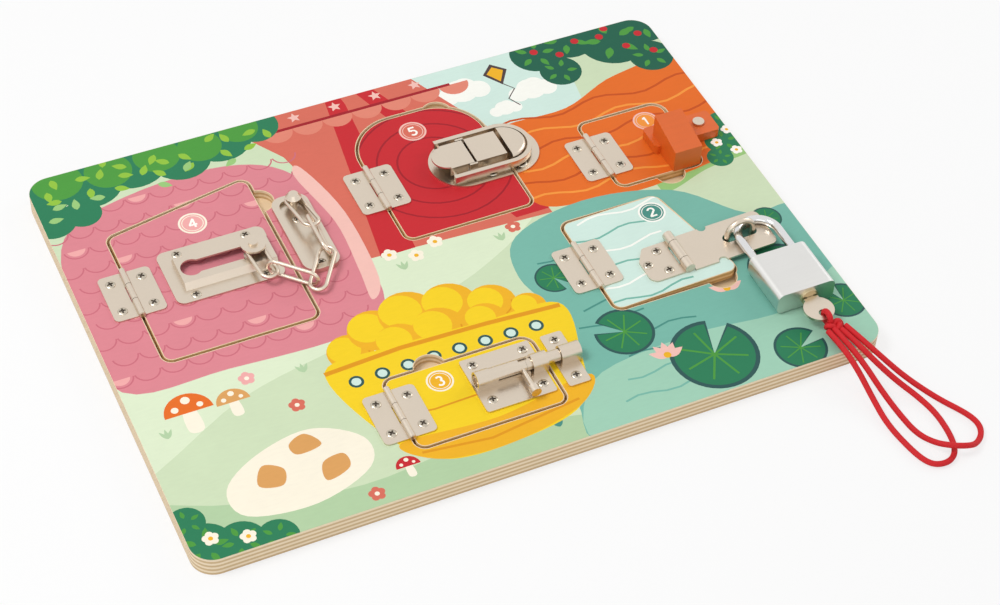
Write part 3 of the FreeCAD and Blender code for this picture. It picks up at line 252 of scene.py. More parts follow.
def star(x: float, y: float, outer: float, inner: float, tips: int, lean: float = 0) -> list[Point]:
    """A star with straight edges.

    Args:
        x, y: its middle.
        outer, inner: its two radii.
        tips: number of tips.
        lean: turn in degrees.

    Returns:
        The outline's points.
    """
    points = []
    for step in range(2 * tips):
        radius = outer if step % 2 == 0 else inner
        turn = math.radians(lean + 180 * step / tips)
        points.append((x + radius * math.cos(turn), y + radius * math.sin(turn)))
    return points


class Picture:
    """The printed picture as a pile of flat shapes, the last one on top."""

    def __init__(self) -> None:
        self.shapes: list[Shape] = []

    def add(self, ink: str, outline: list[Point]) -> None:
        """Lay one shape on the pile.

        Args:
            ink: name of its colour.
            outline: its points in millimetres.
        """
        self.shapes.append((ink, outline))

    def flower(self, x: float, y: float, radius: float, petals: str, heart: str) -> None:
        """A small flower of five round petals.

        Args:
            x, y: its middle.
            radius: its radius.
            petals, heart: names of its colours.
        """
        for step in range(5):
            turn = math.radians(90 + 72 * step)
            self.add(petals, disc(x + radius * 0.55 * math.cos(turn), y + radius * 0.55 * math.sin(turn),
                                  radius * 0.48, 12))
        self.add(heart, disc(x, y, radius * 0.3, 10))

    def bush(self, places: list[tuple[float, float, float]], dark: str, light: str) -> None:
        """A rounded bush with lighter leaves.

        Args:
            places: middle and radius of each clump.
            dark, light: names of its colours.
        """
        for x, y, radius in places:
            self.add(dark, disc(x, y, radius))
        for number, (x, y, radius) in enumerate(places):
            for step in range(5):
                turn = 72 * step + 31 * number
                out = radius * 0.32
                place = (x + out * math.cos(math.radians(turn)), y + out * math.sin(math.radians(turn)))
                self.add(light, leaf(place[0], place[1], radius * 0.5, radius * 0.24, turn))

    def tuft(self, x: float, y: float, size: float, ink: str) -> None:
        """A small tuft of grass.

        Args:
            x, y: its foot.
            size: its height.
            ink: name of its colour.
        """
        for lean in (60, 90, 120):
            self.add(ink, leaf(x, y, size, size * 0.3, lean))

    def mushroom(self, x: float, y: float, size: float, cap: str, dots: str) -> None:
        """A toadstool.

        Args:
            x, y: its foot.
            size: its height.
            cap, dots: names of its colours.
        """
        foot, neck, top = size * 0.16, size * 0.12, y + size * 0.6
        self.add("cream", smooth([(x - foot, y), (x + foot, y), (x + neck, top), (x - neck, top)], 4))
        self.add(cap, arc(x, y + size * 0.5, size * 0.52, 0, 180, 16))
        for across, up, radius in ((-0.26, 0.66, 0.08), (0.02, 0.84, 0.10), (0.27, 0.64, 0.07)):
            self.add(dots, disc(x + size * across, y + size * up, size * radius, 12))

    def meadow(self) -> None:
        """The ground colours of the whole board."""
        self.add("mint", [(-5, -5), (405, -5), (405, 303), (-5, 303)])
        self.add("pale_mint", smooth([(-20, 60), (60, 96), (130, 112), (210, 132), (262, 170), (150, 176),
                                      (40, 150), (-20, 130)]))
        self.add("sage", smooth([(-20, -20), (90, -20), (190, -14), (240, 6), (180, 22), (96, 16), (30, 30),
                                 (-20, 44)]))
        self.add("fresh", smooth([(340, 150), (372, 158), (412, 166), (412, 206), (376, 188), (346, 176)]))
        for x, y in ((150, 108), (96, 100), (176, 150), (236, 150), (14, 84), (92, 22), (250, 122),
                     (206, 12)):
            self.tuft(x, y, 7, "sage" if y > 60 else "dark_teal")

    def pink_dome(self) -> None:
        """The pink dome at the left with rows of scales."""
        dome = smooth([(2, 124), (60, 118), (128, 116), (156, 132), (158, 190), (146, 246), (112, 268),
                       (52, 266), (8, 246), (-4, 186)])
        self.add("pink", dome)
        for row in range(10):
            level = 128 + row * 14.5
            shift = 7.5 if row % 2 else 0
            for column in range(11):
                middle = 4 + shift + column * 15
                if 2 < middle < 152 and level < 262:
                    self.add("rose", stroke(arc(middle, level + 6, 7.2, 188, 352, 10), 0.9))
                    if (row * 3 + column * 5) % 7 == 0:
                        self.add("pale_pink", arc(middle, level + 6, 5.4, 190, 350, 10))
        self.add("blush", smooth([(150, 136), (160, 150), (162, 206), (152, 250), (146, 244), (154, 200),
                                  (152, 160)]))

    def canopy(self) -> None:
        """The leafy top left corner."""
        clumps = [(6, 290, 22), (34, 284, 20), (62, 292, 22), (90, 284, 18), (116, 292, 20), (6, 262, 14),
                  (24, 262, 11), (140, 294, 14)]
        for x, y, radius in clumps:
            self.add("dark_green", disc(x, y, radius))
        for x, y, radius in ((18, 292, 15), (48, 290, 14), (78, 292, 14), (104, 290, 13), (130, 296, 12)):
            self.add("green", disc(x, y, radius))
        for number in range(34):
            x = 4 + (number * 37) % 142
            y = 262 + (number * 23) % 34
            if y > 268 or x < 30:
                self.add("lime" if number % 3 else "fresh", leaf(x, y, 9, 4.6, (number * 67) % 360))

    def red_tent(self) -> None:
        """The red striped tent in the middle at the back."""
        self.add("coral", [(152, 166), (272, 160), (268, 240), (240, 303), (120, 303), (146, 262),
                           (158, 210)])
        peak = (196, 340)
        for number in range(6):
            left = 146 + number * 21
            if number % 2:
                self.add("red" if number != 3 else "coral",
                         [(left, 164), (left + 21, 164), (peak[0] + 4, peak[1]), (peak[0] - 4, peak[1])])
        for number in range(7):
            self.add("brick", arc(150 + number * 19, 284, 9.5, 180, 360, 12))
        self.add("dark_red", stroke([(140, 284.5), (262, 284.5)], 2.2))
        for number in range(4):
            self.add("blush", star(164 + number * 26, 292, 4.2, 1.9, 5, 90))

    def sky(self) -> None:
        """The pale sky with clouds and a kite at the back."""
        self.add("sky", [(238, 303), (246, 262), (266, 236), (330, 236), (340, 303)])
        for x, y, size in ((266, 276, 10), (306, 262, 9), (284, 252, 6)):
            for across, up, radius in ((0, 0, 1), (-1.0, -0.25, 0.7), (1.05, -0.2, 0.75), (0.4, 0.35, 0.7)):
                self.add("cloud", disc(x + across * size, y + up * size, radius * size, 18))
        self.add("plum", [(292, 292), (300, 284), (292, 272), (284, 284)])
        self.add("amber", [(292, 289), (297.5, 284), (292, 275), (286.5, 284)])
        self.add("plum", stroke([(292, 273), (297, 266), (290, 259), (294, 251)], 0.8))

    def dunes(self) -> None:
        """The orange dunes at the right with wavy bands."""
        self.add("orange", smooth([(268, 168), (300, 160), (345, 158), (404, 176), (412, 252), (360, 254),
                                   (318, 238), (272, 236), (262, 204)]))
        for number in range(6):
            level = 172 + number * 13
            wave = [(258 + step * 8, level + 3.2 * math.sin(step * 0.9 + number)) for step in range(19)]
            self.add("dark_orange" if number % 2 else "light_orange", stroke(wave, 1.6))

    def trees(self) -> None:
        """The round trees with berries at the back right."""
        self.bush([(322, 290, 16), (346, 296, 18), (330, 270, 13), (372, 284, 22), (396, 292, 18),
                   (388, 262, 14)], "deep_green", "green")
        for x, y in ((322, 292), (336, 284), (350, 292), (366, 290), (378, 276), (390, 284), (372, 296),
                     (392, 266)):
            self.add("red", disc(x, y, 2.6, 14))
        self.bush([(392, 176, 11), (400, 190, 10), (384, 164, 8)], "dark_green", "green")
        for x, y in ((388, 176), (396, 166), (399, 184)):
            self.flower(x, y, 3.6, "white", "amber")

    def lake(self) -> None:
        """The teal lake with lily pads at the front right."""
        self.add("teal", smooth([(244, 150), (292, 162), (344, 150), (376, 116), (412, 104), (412, -12),
                                 (236, -12), (222, 24), (240, 78), (232, 120)]))
        self.add("shallow", smooth([(236, 34), (300, 44), (360, 40), (412, 60), (412, -12), (232, -12)]))
        for number in range(9):
            level = 14 + number * 14
            wave = [(246 + step * 8, level + 1.8 * math.sin(step * 1.3 + number * 2)) for step in range(16)]
            self.add("teal" if level < 40 else "dark_teal", stroke(wave[number % 4:number % 4 + 6], 1.2))
        for x, y, radius, lean in ((306, 26, 25, 60), (268, 60, 17, 150), (372, 70, 19, 200),
                                   (352, 12, 15, 20), (392, 34, 13, 100), (250, 112, 11, 300),
                                   (384, 108, 9, 250)):
            self.add("deep_teal", [(x, y)] + arc(x, y, radius, lean + 14, lean + 346, 36))
            self.add("dark_green", [(x, y)] + arc(x, y, radius * 0.9, lean + 17, lean + 343, 34))
            for vein in range(7):
                turn = math.radians(lean + 40 + vein * 47)
                tip = (x + radius * 0.74 * math.cos(turn), y + radius * 0.74 * math.sin(turn))
                self.add("green", stroke([(x, y), tip], radius * 0.05))
        for x, y in ((336, 66), (282, 34), (378, 44)):
            for lean in range(20, 180, 32):
                self.add("blush", leaf(x, y, 11, 5, lean))
            self.add("amber", disc(x, y + 1.5, 2.2, 12))

    def boat(self) -> None:
        """The yellow boat with its load of fruit at the front."""
        for x, y, radius in ((124, 104, 13), (142, 114, 15), (164, 118, 17), (188, 116, 16), (210, 108, 14),
                             (228, 98, 10), (152, 100, 14), (176, 102, 15), (202, 98, 12)):
            self.add("amber", disc(x, y, radius, 24))
            self.add("yellow", disc(x - radius * 0.2, y + radius * 0.2, radius * 0.72, 22))
            self.add("gold", stroke(arc(x, y, radius * 0.8, 290, 350, 8), 1.0))
        self.add("yellow", smooth([(106, 96), (150, 99), (200, 97), (244, 94), (240, 58), (224, 22),
                                   (180, 12), (140, 16), (118, 44)], 8))
        self.add("amber", smooth([(124, 34), (180, 31), (236, 40), (224, 22), (180, 12), (140, 16)], 8))
        self.add("gold", stroke([(105, 94), (150, 96.5), (200, 95), (244, 92)], 3))
        for number in range(8):
            x = 119 + number * 15.2
            self.add("deep_teal", disc(x, 84 - 0.3 * abs(number - 3.5), 4.2))
            self.add("pale_teal", disc(x, 84 - 0.3 * abs(number - 3.5), 2.7, 20))
        self.add("gold", stroke([(132, 24), (170, 19), (224, 26)], 1.6))

    def corner(self) -> None:
        """Toadstools, stones and a bush in the front left corner."""
        self.add("cream", smooth([(34, 20), (70, 14), (104, 26), (108, 46), (84, 62), (52, 56), (30, 40)]))
        for stone in ([(46, 36), (58, 32), (62, 42), (52, 48)], [(80, 26), (94, 30), (94, 40), (82, 38)],
                      [(72, 48), (86, 50), (80, 60), (70, 56)]):
            self.add("tan", smooth(stone))
        self.mushroom(30, 84, 26, "orange", "cream")
        self.mushroom(54, 86, 18, "tan", "cream")
        self.mushroom(122, 12, 13, "red", "cream")
        self.bush([(8, 10, 15), (26, 6, 13), (44, 2, 11), (4, 28, 10)], "dark_green", "green")
        for x, y in ((12, 14), (30, 8)):
            self.flower(x, y, 4.4, "cream", "amber")
        for x, y, ink in ((84, 80, "coral"), (100, 8, "coral"), (66, 108, "pale_pink"), (186, 158, "cream"),
                          (200, 164, "cream"), (172, 164, "cream"), (246, 158, "coral")):
            self.flower(x, y, 4.6, ink, "cream" if ink != "cream" else "amber")

    def door_grounds(self) -> dict[int, list[Shape]]:
        """What each door shows over the picture.

        Returns:
            The shapes of each door, by its number.
        """
        grounds: dict[int, list[Shape]] = {number: [] for number in range(1, 6)}
        grounds[5].append(("red", [(180, 165), (270, 165), (270, 275), (180, 275)]))
        grounds[2].append(("pale_teal", [(265, 70), (360, 70), (360, 155), (265, 155)]))
        for number in range(6):
            level, first = 80 + number * 13, number % 3
            wave = [(266 + step * 7, level + 2 * math.sin(step * 1.1 + number * 2)) for step in range(14)]
            grounds[2].append(("cloud" if number % 2 else "teal", stroke(wave[first:first + 9], 1.3)))
        grounds[3].append(("gold", stroke([(130, 52), (150, 49), (190, 50), (222, 54)], 1.2)))
        for radius in (22, 34, 46):
            grounds[5].append(("dark_red", stroke(arc(226, 224, radius, 0, 360, 40), 1.2)))
        return grounds


# Digits as strokes in a box one high, from -0.5 to 0.5
DIGITS: dict[int, list[list[Point]]] = {
    1: [[(-0.18, 0.26), (0.06, 0.46)], [(0.04, 0.5), (0.04, -0.5)]],
    2: [arc(0, 0.22, 0.26, 165, -30, 10), [(0.23, 0.12), (-0.28, -0.44)], [(-0.3, -0.44), (0.3, -0.44)]],
    3: [arc(0, 0.24, 0.22, 150, -80, 10), arc(0, -0.22, 0.26, 80, -150, 10)],
    4: [[(0.14, 0.5), (-0.3, -0.18)], [(-0.34, -0.18), (0.34, -0.18)], [(0.13, 0.5), (0.13, -0.5)]],
    5: [[(-0.22, 0.45), (0.26, 0.45)], [(-0.2, 0.5), (-0.24, 0.02)], arc(-0.01, -0.18, 0.28, 130, -140, 12)],
}


@dataclass(frozen=True)
class Badge:
    """A round number badge.

    Args:
        number: the digit.
        x, y: its middle.
        radius: its radius.
        ground, rim: names of its colours.
    """

    number: int
    x: float
    y: float
    radius: float
    ground: str
    rim: str

    def shapes(self) -> list[Shape]:
        """Returns:
            The badge's shapes, the last one on top.
        """
        rings = ((self.rim, 1.0), (self.ground, 0.86), (self.rim, 0.76), (self.ground, 0.70))
        found: list[Shape] = [(ink, disc(self.x, self.y, self.radius * share, 40)) for ink, share in rings]
        height = self.radius * 0.86
        for line in DIGITS[self.number]:
            spots = [(self.x + x * height, self.y + y * height) for x, y in line]
            found.append(("white", stroke(spots, self.radius * 0.15)))
        return found


BADGES = {
    1: Badge(1, 357.5, 209.3, 7.8, "light_orange", "blush"),
    2: Badge(2, 323.9, 136.2, 8.0, "dark_teal", "white"),
    3: Badge(3, 160.4, 66.2, 7.6, "amber", "cream"),
    4: Badge(4, 78.7, 230.5, 8.3, "pale_pink", "cream"),
    5: Badge(5, 224.7, 254.0, 8.2, "coral", "blush"),
}


class Shader:
    """Short ways to lay out a material's nodes."""

    def __init__(self, tree: bpy.types.NodeTree) -> None:
        self.tree = tree

    def node(self, kind: str, **values: object) -> bpy.types.Node:
        """Add a node and set its properties.

        Args:
            kind: the node's type.
            values: its properties.

        Returns:
            The new node.
        """
        made = self.tree.nodes.new(kind)
        for name, value in values.items():
            setattr(made, name, value)
        return made

    def join(self, source: Socket, target: Socket) -> None:
        """Link two sockets.

        Args:
            source: the output.
            target: the input.
        """
        self.tree.links.new(source, target)

    def maths(self, operation: str, first: Socket, second: Socket | float | None = None) -> Socket:
        """Add a maths node.

        Args:
            operation: what it works out.
            first: its first value.
            second: its second value, where it has one.

        Returns:
            The result.
        """
        made = self.node("ShaderNodeMath", operation=operation)
        self.join(first, made.inputs[0])
        if isinstance(second, (int, float)):
            made.inputs[1].default_value = second
        elif second is not None:
            self.join(second, made.inputs[1])
        return made.outputs[0]

    def mixed(self, share: Socket, first: Socket, second: Socket, target: Socket) -> None:
        """Mix two shaders into an output.

        Args:
            share: how much of the second.
            first, second: the shaders.
            target: the output's input.
        """
        made = self.node("ShaderNodeMixShader")
        for source, place in zip((share, first, second), made.inputs):
            self.join(source, place)
        self.join(made.outputs[0], target)


def surface_group() -> bpy.types.NodeTree:
    """The shared surface effect: colour variation, roughness variation and bump from noise.

    Returns:
        The node group.
    """
    group = bpy.data.node_groups.new("surface_variation", "ShaderNodeTree")
    face = group.interface
    face.new_socket("Colour", in_out="INPUT", socket_type="NodeSocketColor")
    for name in ("Grain", "Spread", "Roughness", "Relief", "Stretch"):
        face.new_socket(name, in_out="INPUT", socket_type="NodeSocketFloat")
    face.new_socket("Colour", in_out="OUTPUT", socket_type="NodeSocketColor")
    face.new_socket("Roughness", in_out="OUTPUT", socket_type="NodeSocketFloat")
    face.new_socket("Normal", in_out="OUTPUT", socket_type="NodeSocketVector")
    shader = Shader(group)
    given = shader.node("NodeGroupInput").outputs
    result = shader.node("NodeGroupOutput").inputs
    where = shader.node("ShaderNodeTexCoord").outputs["Object"]
    lengthen = shader.node("ShaderNodeCombineXYZ")
    lengthen.inputs["Y"].default_value = 1
    lengthen.inputs["Z"].default_value = 1
    shader.join(given["Stretch"], lengthen.inputs["X"])
    stretched = shader.node("ShaderNodeVectorMath", operation="MULTIPLY")
    shader.join(where, stretched.inputs[0])
    shader.join(lengthen.outputs[0], stretched.inputs[1])
    fine = shader.node("ShaderNodeTexNoise")
    fine.inputs["Detail"].default_value = 3
    shader.join(stretched.outputs[0], fine.inputs["Vector"])
    shader.join(given["Grain"], fine.inputs["Scale"])
    broad = shader.node("ShaderNodeTexNoise")
    broad.inputs["Scale"].default_value = 35
    shader.join(where, broad.inputs["Vector"])
    both = shader.maths("ADD", fine.outputs["Fac"], broad.outputs["Fac"])
    change = shader.maths("MULTIPLY", shader.maths("SUBTRACT", both, 1), given["Spread"])
    value = shader.maths("ADD", change, 1)
    tone = shader.node("ShaderNodeHueSaturation")
    shader.join(value, tone.inputs["Value"])
    shader.join(given["Colour"], tone.inputs["Color"])
    shader.join(tone.outputs[0], result["Colour"])
    shader.join(shader.maths("MULTIPLY", value, given["Roughness"]), result["Roughness"])
    bump = shader.node("ShaderNodeBump")
    bump.inputs["Distance"].default_value = 0.0002
    shader.join(given["Relief"], bump.inputs["Strength"])
    shader.join(fine.outputs["Fac"], bump.inputs["Height"])
    shader.join(bump.outputs[0], result["Normal"])
    return group


class Plies(Enum):
    """The display colours of the two kinds of layer on a cut edge of plywood."""

    FRESH = ((238, 220, 190), (206, 176, 132))
    SCORCHED = ((232, 196, 140), (202, 158, 98))


class Materials:
    """Makes and keeps all materials of the board."""

    def __init__(self) -> None:
        self.group = surface_group()

    def surface(self, name: str, finish: Finish, stretch: float = 1.0,
                coat: float = 0.0) -> bpy.types.Material:
        """A material with the shared surface effect.

        Args:
            name: its name.
            finish: its look.
            stretch: squeeze of the grain along X.
            coat: strength of a clear coat.

        Returns:
            The material.
        """
        material = bpy.data.materials.new(name)
        material.use_nodes = True
        shader = Shader(material.node_tree)
        main = material.node_tree.nodes["Principled BSDF"]
        effect = shader.node("ShaderNodeGroup", node_tree=self.group)
        effect.inputs["Colour"].default_value = (*finish.colour, 1)
        for socket, value in (("Grain", finish.grain), ("Spread", finish.spread), ("Stretch", stretch),
                              ("Roughness", finish.roughness), ("Relief", finish.relief)):
            effect.inputs[socket].default_value = value
        main.inputs["Metallic"].default_value = finish.metallic
        main.inputs["Coat Weight"].default_value = coat
        main.inputs["Coat Roughness"].default_value = 0.2
        shader.join(effect.outputs["Colour"], main.inputs["Base Color"])
        shader.join(effect.outputs["Roughness"], main.inputs["Roughness"])
        shader.join(effect.outputs["Normal"], main.inputs["Normal"])
        return material

    def plywood(self, name: str, edge: Plies) -> bpy.types.Material:
        """Plywood: grain on its faces and layers on its edges.

        Args:
            name: its name.
            edge: how its cut edges look.

        Returns:
            The material.
        """
        finish = Finish(linear(232, 208, 172), 0.62, 0.0, 420.0, 0.2, 0.14)
        material = self.surface(name, finish, 0.12)
        shader = Shader(material.node_tree)
        main = material.node_tree.nodes["Principled BSDF"]
        effect = next(n for n in material.node_tree.nodes if n.type == "GROUP")
        where = shader.node("ShaderNodeTexCoord").outputs
        split = shader.node("ShaderNodeSeparateXYZ")
        shader.join(where["Object"], split.inputs[0])
        layer = shader.maths("MULTIPLY", split.outputs["Z"], 2 * math.pi / PLY_PAIR)
        step = shader.node("ShaderNodeMapRange")
        step.inputs["From Min"].default_value = -0.25
        step.inputs["From Max"].default_value = 0.25
        shader.join(shader.maths("SINE", layer), step.inputs["Value"])
        plies = shader.node("ShaderNodeMix", data_type="RGBA")
        for socket, colour in zip("AB", edge.value):
            plies.inputs[socket].default_value = (*linear(*colour), 1)
        shader.join(step.outputs[0], plies.inputs["Factor"])
        facing = shader.node("ShaderNodeSeparateXYZ")
        shader.join(where["Normal"], facing.inputs[0])
        flat = shader.maths("GREATER_THAN", shader.maths("ABSOLUTE", facing.outputs["Z"]), 0.7)
        pick = shader.node("ShaderNodeMix", data_type="RGBA")
        shader.join(flat, pick.inputs["Factor"])
        shader.join(plies.outputs["Result"], pick.inputs["A"])
        shader.join(effect.outputs["Colour"], pick.inputs["B"])
        shader.join(pick.outputs["Result"], main.inputs["Base Color"])
        return material

    def ink(self, name: str, colour: tuple[float, float, float]) -> bpy.types.Material:
        """One printed colour under satin lacquer.

        Args:
            name: the ink's name.
            colour: its linear colour.

        Returns:
            The material.
        """
        material = self.surface(f"ink_{name}", Finish(colour, 0.42, 0.0, 650.0, 0.05, 0.07), 0.25)
        material.node_tree.nodes["Principled BSDF"].inputs["Specular IOR Level"].default_value = 0.2
        return material


def metres(x: float, y: float, z: float) -> Vector:
    """Turn a place on the board into one in the frame.

    Args:
        x, y, z: the place in millimetres from the board's front left corner.

    Returns:
        The place in metres.
    """
    return Vector(((x - BOARD_LENGTH / 2) * MM, (y - BOARD_WIDTH / 2) * MM, z * MM))


def placed(name: str, data: bpy.types.ID, body: str) -> bpy.types.Object:
    """Put a new piece into the scene and on its body.

    Args:
        name: its name.
        data: its mesh or curve.
        body: the body it rides on.

    Returns:
        The piece.
    """
    piece = bpy.data.objects.new(name, data)
    bpy.context.scene.collection.objects.link(piece)
    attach(piece, body)
    LOG.info("%s rides on %s", name, body)
    return piece


def loops_of_top(node: str, turn: Matrix) -> list[list[Point]]:
    """The outlines of a CAD node's flat top, in millimetres on the board.

    Args:
        node: the CAD node.
        turn: lays the node flat first.

    Returns:
        The outlines, the largest first.
    """
    source = FRAME["nodes"][node]
    mesh = bmesh.new()
    mesh.from_mesh(source.data)
    mesh.transform(turn @ source.matrix_world)
    bmesh.ops.remove_doubles(mesh, verts=mesh.verts, dist=WELD)
    top = max(vert.co.z for vert in mesh.verts)
    mesh.normal_update()
    faces = [face for face in mesh.faces if all(abs(v.co.z - top) < FLAT for v in face.verts)]
    on_top = set(faces)
    onward: dict[int, int] = {}
    for face in faces:
        for loop in face.loops:
            if sum(other in on_top for other in loop.edge.link_faces) == 1:
                onward[loop.vert.index] = loop.link_loop_next.vert.index
    mesh.verts.ensure_lookup_table()
    outlines = []
    while onward:
        start = next(iter(onward))
        chain = []
        here = start
        while here in onward:
            spot = mesh.verts[here].co
            chain.append((spot.x / MM + BOARD_LENGTH / 2, spot.y / MM + BOARD_WIDTH / 2))
            here = onward.pop(here)
        outlines.append(chain)
    mesh.free()
    outlines.sort(key=lambda line: -abs(area(line)))
    return outlines


def area(outline: list[Point]) -> float:
    """The area of an outline.

    Args:
        outline: its points.

    Returns:
        The area, positive when it runs counter-clockwise.
    """
    total = 0.0
    for (x, y), (u, v) in zip(outline, outline[1:] + outline[:1]):
        total += x * v - u * y
    return total / 2


def corners(outline: list[Point], spare: float = 0) -> tuple[Point, Point]:
    """The box round an outline.

    Args:
        outline: its points.
        spare: how far the box stands off.

    Returns:
        The lowest and the highest corner.
    """
    across, along = zip(*outline)
    return (min(across) - spare, min(along) - spare), (max(across) + spare, max(along) + spare)


def shifted(outline: list[Point], amount: float) -> list[Point]:
    """Move an outline to its left, which is into the wood.

    Args:
        outline: its points, with the wood on the left.
        amount: how far, in millimetres.

    Returns:
        The moved outline.
    """
    moved = []
    count = len(outline)
    for index, (x, y) in enumerate(outline):
        before = outline[index - 1]
        after = outline[(index + 1) % count]
        run = math.hypot(after[0] - before[0], after[1] - before[1]) or 1
        moved.append((x - (after[1] - before[1]) / run * amount, y + (after[0] - before[0]) / run * amount))
    return moved


class Patch:
    """One shape of the picture with quick tests for places.

    Args:
        ink: name of its colour.
        outline: its points.
    """

    def __init__(self, ink: str, outline: list[Point]) -> None:
        self.ink = ink
        self.outline = outline
        self.low, self.high = corners(outline)

    def meets(self, low: Point, high: Point) -> bool:
        """Whether the shape comes near a box.

        Args:
            low, high: the box's corners.

        Returns:
            True if they overlap.
        """
        return all(self.low[axis] < high[axis] and self.high[axis] > low[axis] for axis in (0, 1))

    def holds(self, x: float, y: float) -> bool:
        """Whether a place lies inside the shape.

        Args:
            x, y: the place.

        Returns:
            True if the outline winds round it.
        """
        if not (self.low[0] < x < self.high[0] and self.low[1] < y < self.high[1]):
            return False
        winding = 0
        for (a, b), (c, d) in zip(self.outline, self.outline[1:] + self.outline[:1]):
            if (b <= y) != (d <= y):
                cross = (c - a) * (y - b) - (x - a) * (d - b)
                if b <= y and cross > 0:
                    winding += 1
                elif b > y and cross < 0:
                    winding -= 1
        return winding != 0


def print_skin(name: str, node: str, shapes: list[Shape], inks: dict[str, bpy.types.Material],
               turn: Matrix) -> None:
    """Lay the picture on a CAD node's top as a thin closed plate.

    Args:
        name: the new piece's name.
        node: the CAD node it lies on and rides with.
        shapes: the picture.
        inks: the materials by ink.
        turn: lays the node flat.
    """
    outlines = loops_of_top(node, turn)
    outer = shifted(outlines[0], RIM if node != "front_panel" else BOARD_RIM)
    holes = [shifted(line, RIM) for line in outlines[1:] if abs(area(line)) > LEAST_OPENING]
    low, high = corners(outer, 1)
    near = [Patch(ink, outline) for ink, outline in shapes]
    near = [patch for patch in near if patch.meets(low, high)]
    points: list[Vector] = []
    edges: list[tuple[int, int]] = []
    for line in [outer] + holes + [patch.outline for patch in near]:
        first = len(points)
        points.extend(Vector(p) for p in line)
        edges.extend((first + step, first + (step + 1) % len(line)) for step in range(len(line)))
    spots, _, cells, _, _, _ = delaunay_2d_cdt(points, edges, [], 0, 1e-4, False)
    rims = [Patch("", line) for line in holes]
    whole = Patch("", outer)
    mesh = bmesh.new()
    verts = [mesh.verts.new((spot.x, spot.y, 0)) for spot in spots]
    slots = sorted({patch.ink for patch in near})
    for cell in cells:
        x = sum(spots[index].x for index in cell) / 3
        y = sum(spots[index].y for index in cell) / 3
        if not whole.holds(x, y) or any(rim.holds(x, y) for rim in rims):
            continue
        top = next((patch for patch in reversed(near) if patch.holds(x, y)), None)
        if top is None:
            continue
        face = mesh.faces.new([verts[index] for index in cell])
        face.material_index = slots.index(top.ink)
    bmesh.ops.delete(mesh, geom=[v for v in mesh.verts if not v.link_faces], context="VERTS")
    for face in mesh.faces:
        if face.normal.z < 0:
            face.normal_flip()
    raised = bmesh.ops.extrude_face_region(mesh, geom=mesh.faces[:])
    for item in raised["geom"]:
        if isinstance(item, bmesh.types.BMVert):
            item.co.z += INK
    bmesh.ops.recalc_face_normals(mesh, faces=mesh.faces)
    mesh.transform(turn.inverted() @ Matrix.Translation(metres(0, 0, BOARD_TOP)) @ Matrix.Scale(MM, 4))
    data = bpy.data.meshes.new(name)
    mesh.to_mesh(data)
    mesh.free()
    for ink in slots:
        data.materials.append(inks[ink])
    placed(name, data, FRAME["nodes"][node]["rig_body"])


@dataclass
class PrintedBoard:
    """The printed picture on the front layer and the doors."""

    materials: Materials
    picture: Picture = field(default_factory=Picture)

    def build(self) -> None:
        """Draw the picture and lay it on the board and on each door."""
        picture = self.picture
        for part in (picture.meadow, picture.sky, picture.red_tent, picture.pink_dome, picture.canopy,
                     picture.dunes, picture.trees, picture.lake, picture.boat, picture.corner):
            part()
        inks = {name: self.materials.ink(name, linear(*colour)) for name, colour in INKS.items()}
        flat = Matrix.Identity(4)
        print_skin("print_board", "front_panel", picture.shapes, inks, flat)
        pivot = Vector(((HINGE_2[0] - BOARD_LENGTH / 2) * MM, 0, HINGE_2[1] * MM))
        shut = (Matrix.Translation(pivot) @ Matrix.Rotation(math.radians(DOOR_2_AJAR), 4, "Y")
                @ Matrix.Translation(-pivot))
        for number, ground in picture.door_grounds().items():
            shapes = picture.shapes + ground + BADGES[number].shapes()
            print_skin(f"print_door_{number}", f"door_{number}", shapes, inks, shut if number == 2 else flat)


@dataclass
class Hardware:
    """Finishes for the CAD nodes that stay."""

    materials: Materials

    def build(self) -> None:
        """Give every CAD node its material and soften the edges of the nickel, lock steel and orange wood
        ones.
        """
        surface = self.materials.surface
        nickel = surface("nickel", NICKEL)
        screw = surface("screw_steel", SCREW)
        chrome = surface("chrome", CHROME)
        lock = surface("lock_steel", LOCK, 0.08)
        brass = surface("brass", BRASS)
        latch = surface("orange_wood", ORANGE_WOOD, 0.15, 0.2)
        layers = self.materials.plywood("plywood", Plies.FRESH)
        burnt = self.materials.plywood("plywood_cut", Plies.SCORCHED)
        special = {"front_panel": layers, "back_panel": layers, "padlock_body": lock,
                   "padlock_shackle": chrome, "padlock_plug": brass, "latch_bar": latch,
                   "latch_grip": latch}
        for name, node in FRAME["nodes"].items():
            if name.endswith("screws"):
                pick = screw
            elif name.startswith("door_"):
                pick = burnt
            else:
                pick = special.get(name, nickel)
            node.data.materials.clear()
            node.data.materials.append(pick)
            if pick in (nickel, lock, latch):
                bevel = node.modifiers.new("soft_edges", "BEVEL")
                bevel.width = WOOD_ROUND if pick is latch else METAL_ROUND
                bevel.segments = 2
                bevel.limit_method = "ANGLE"


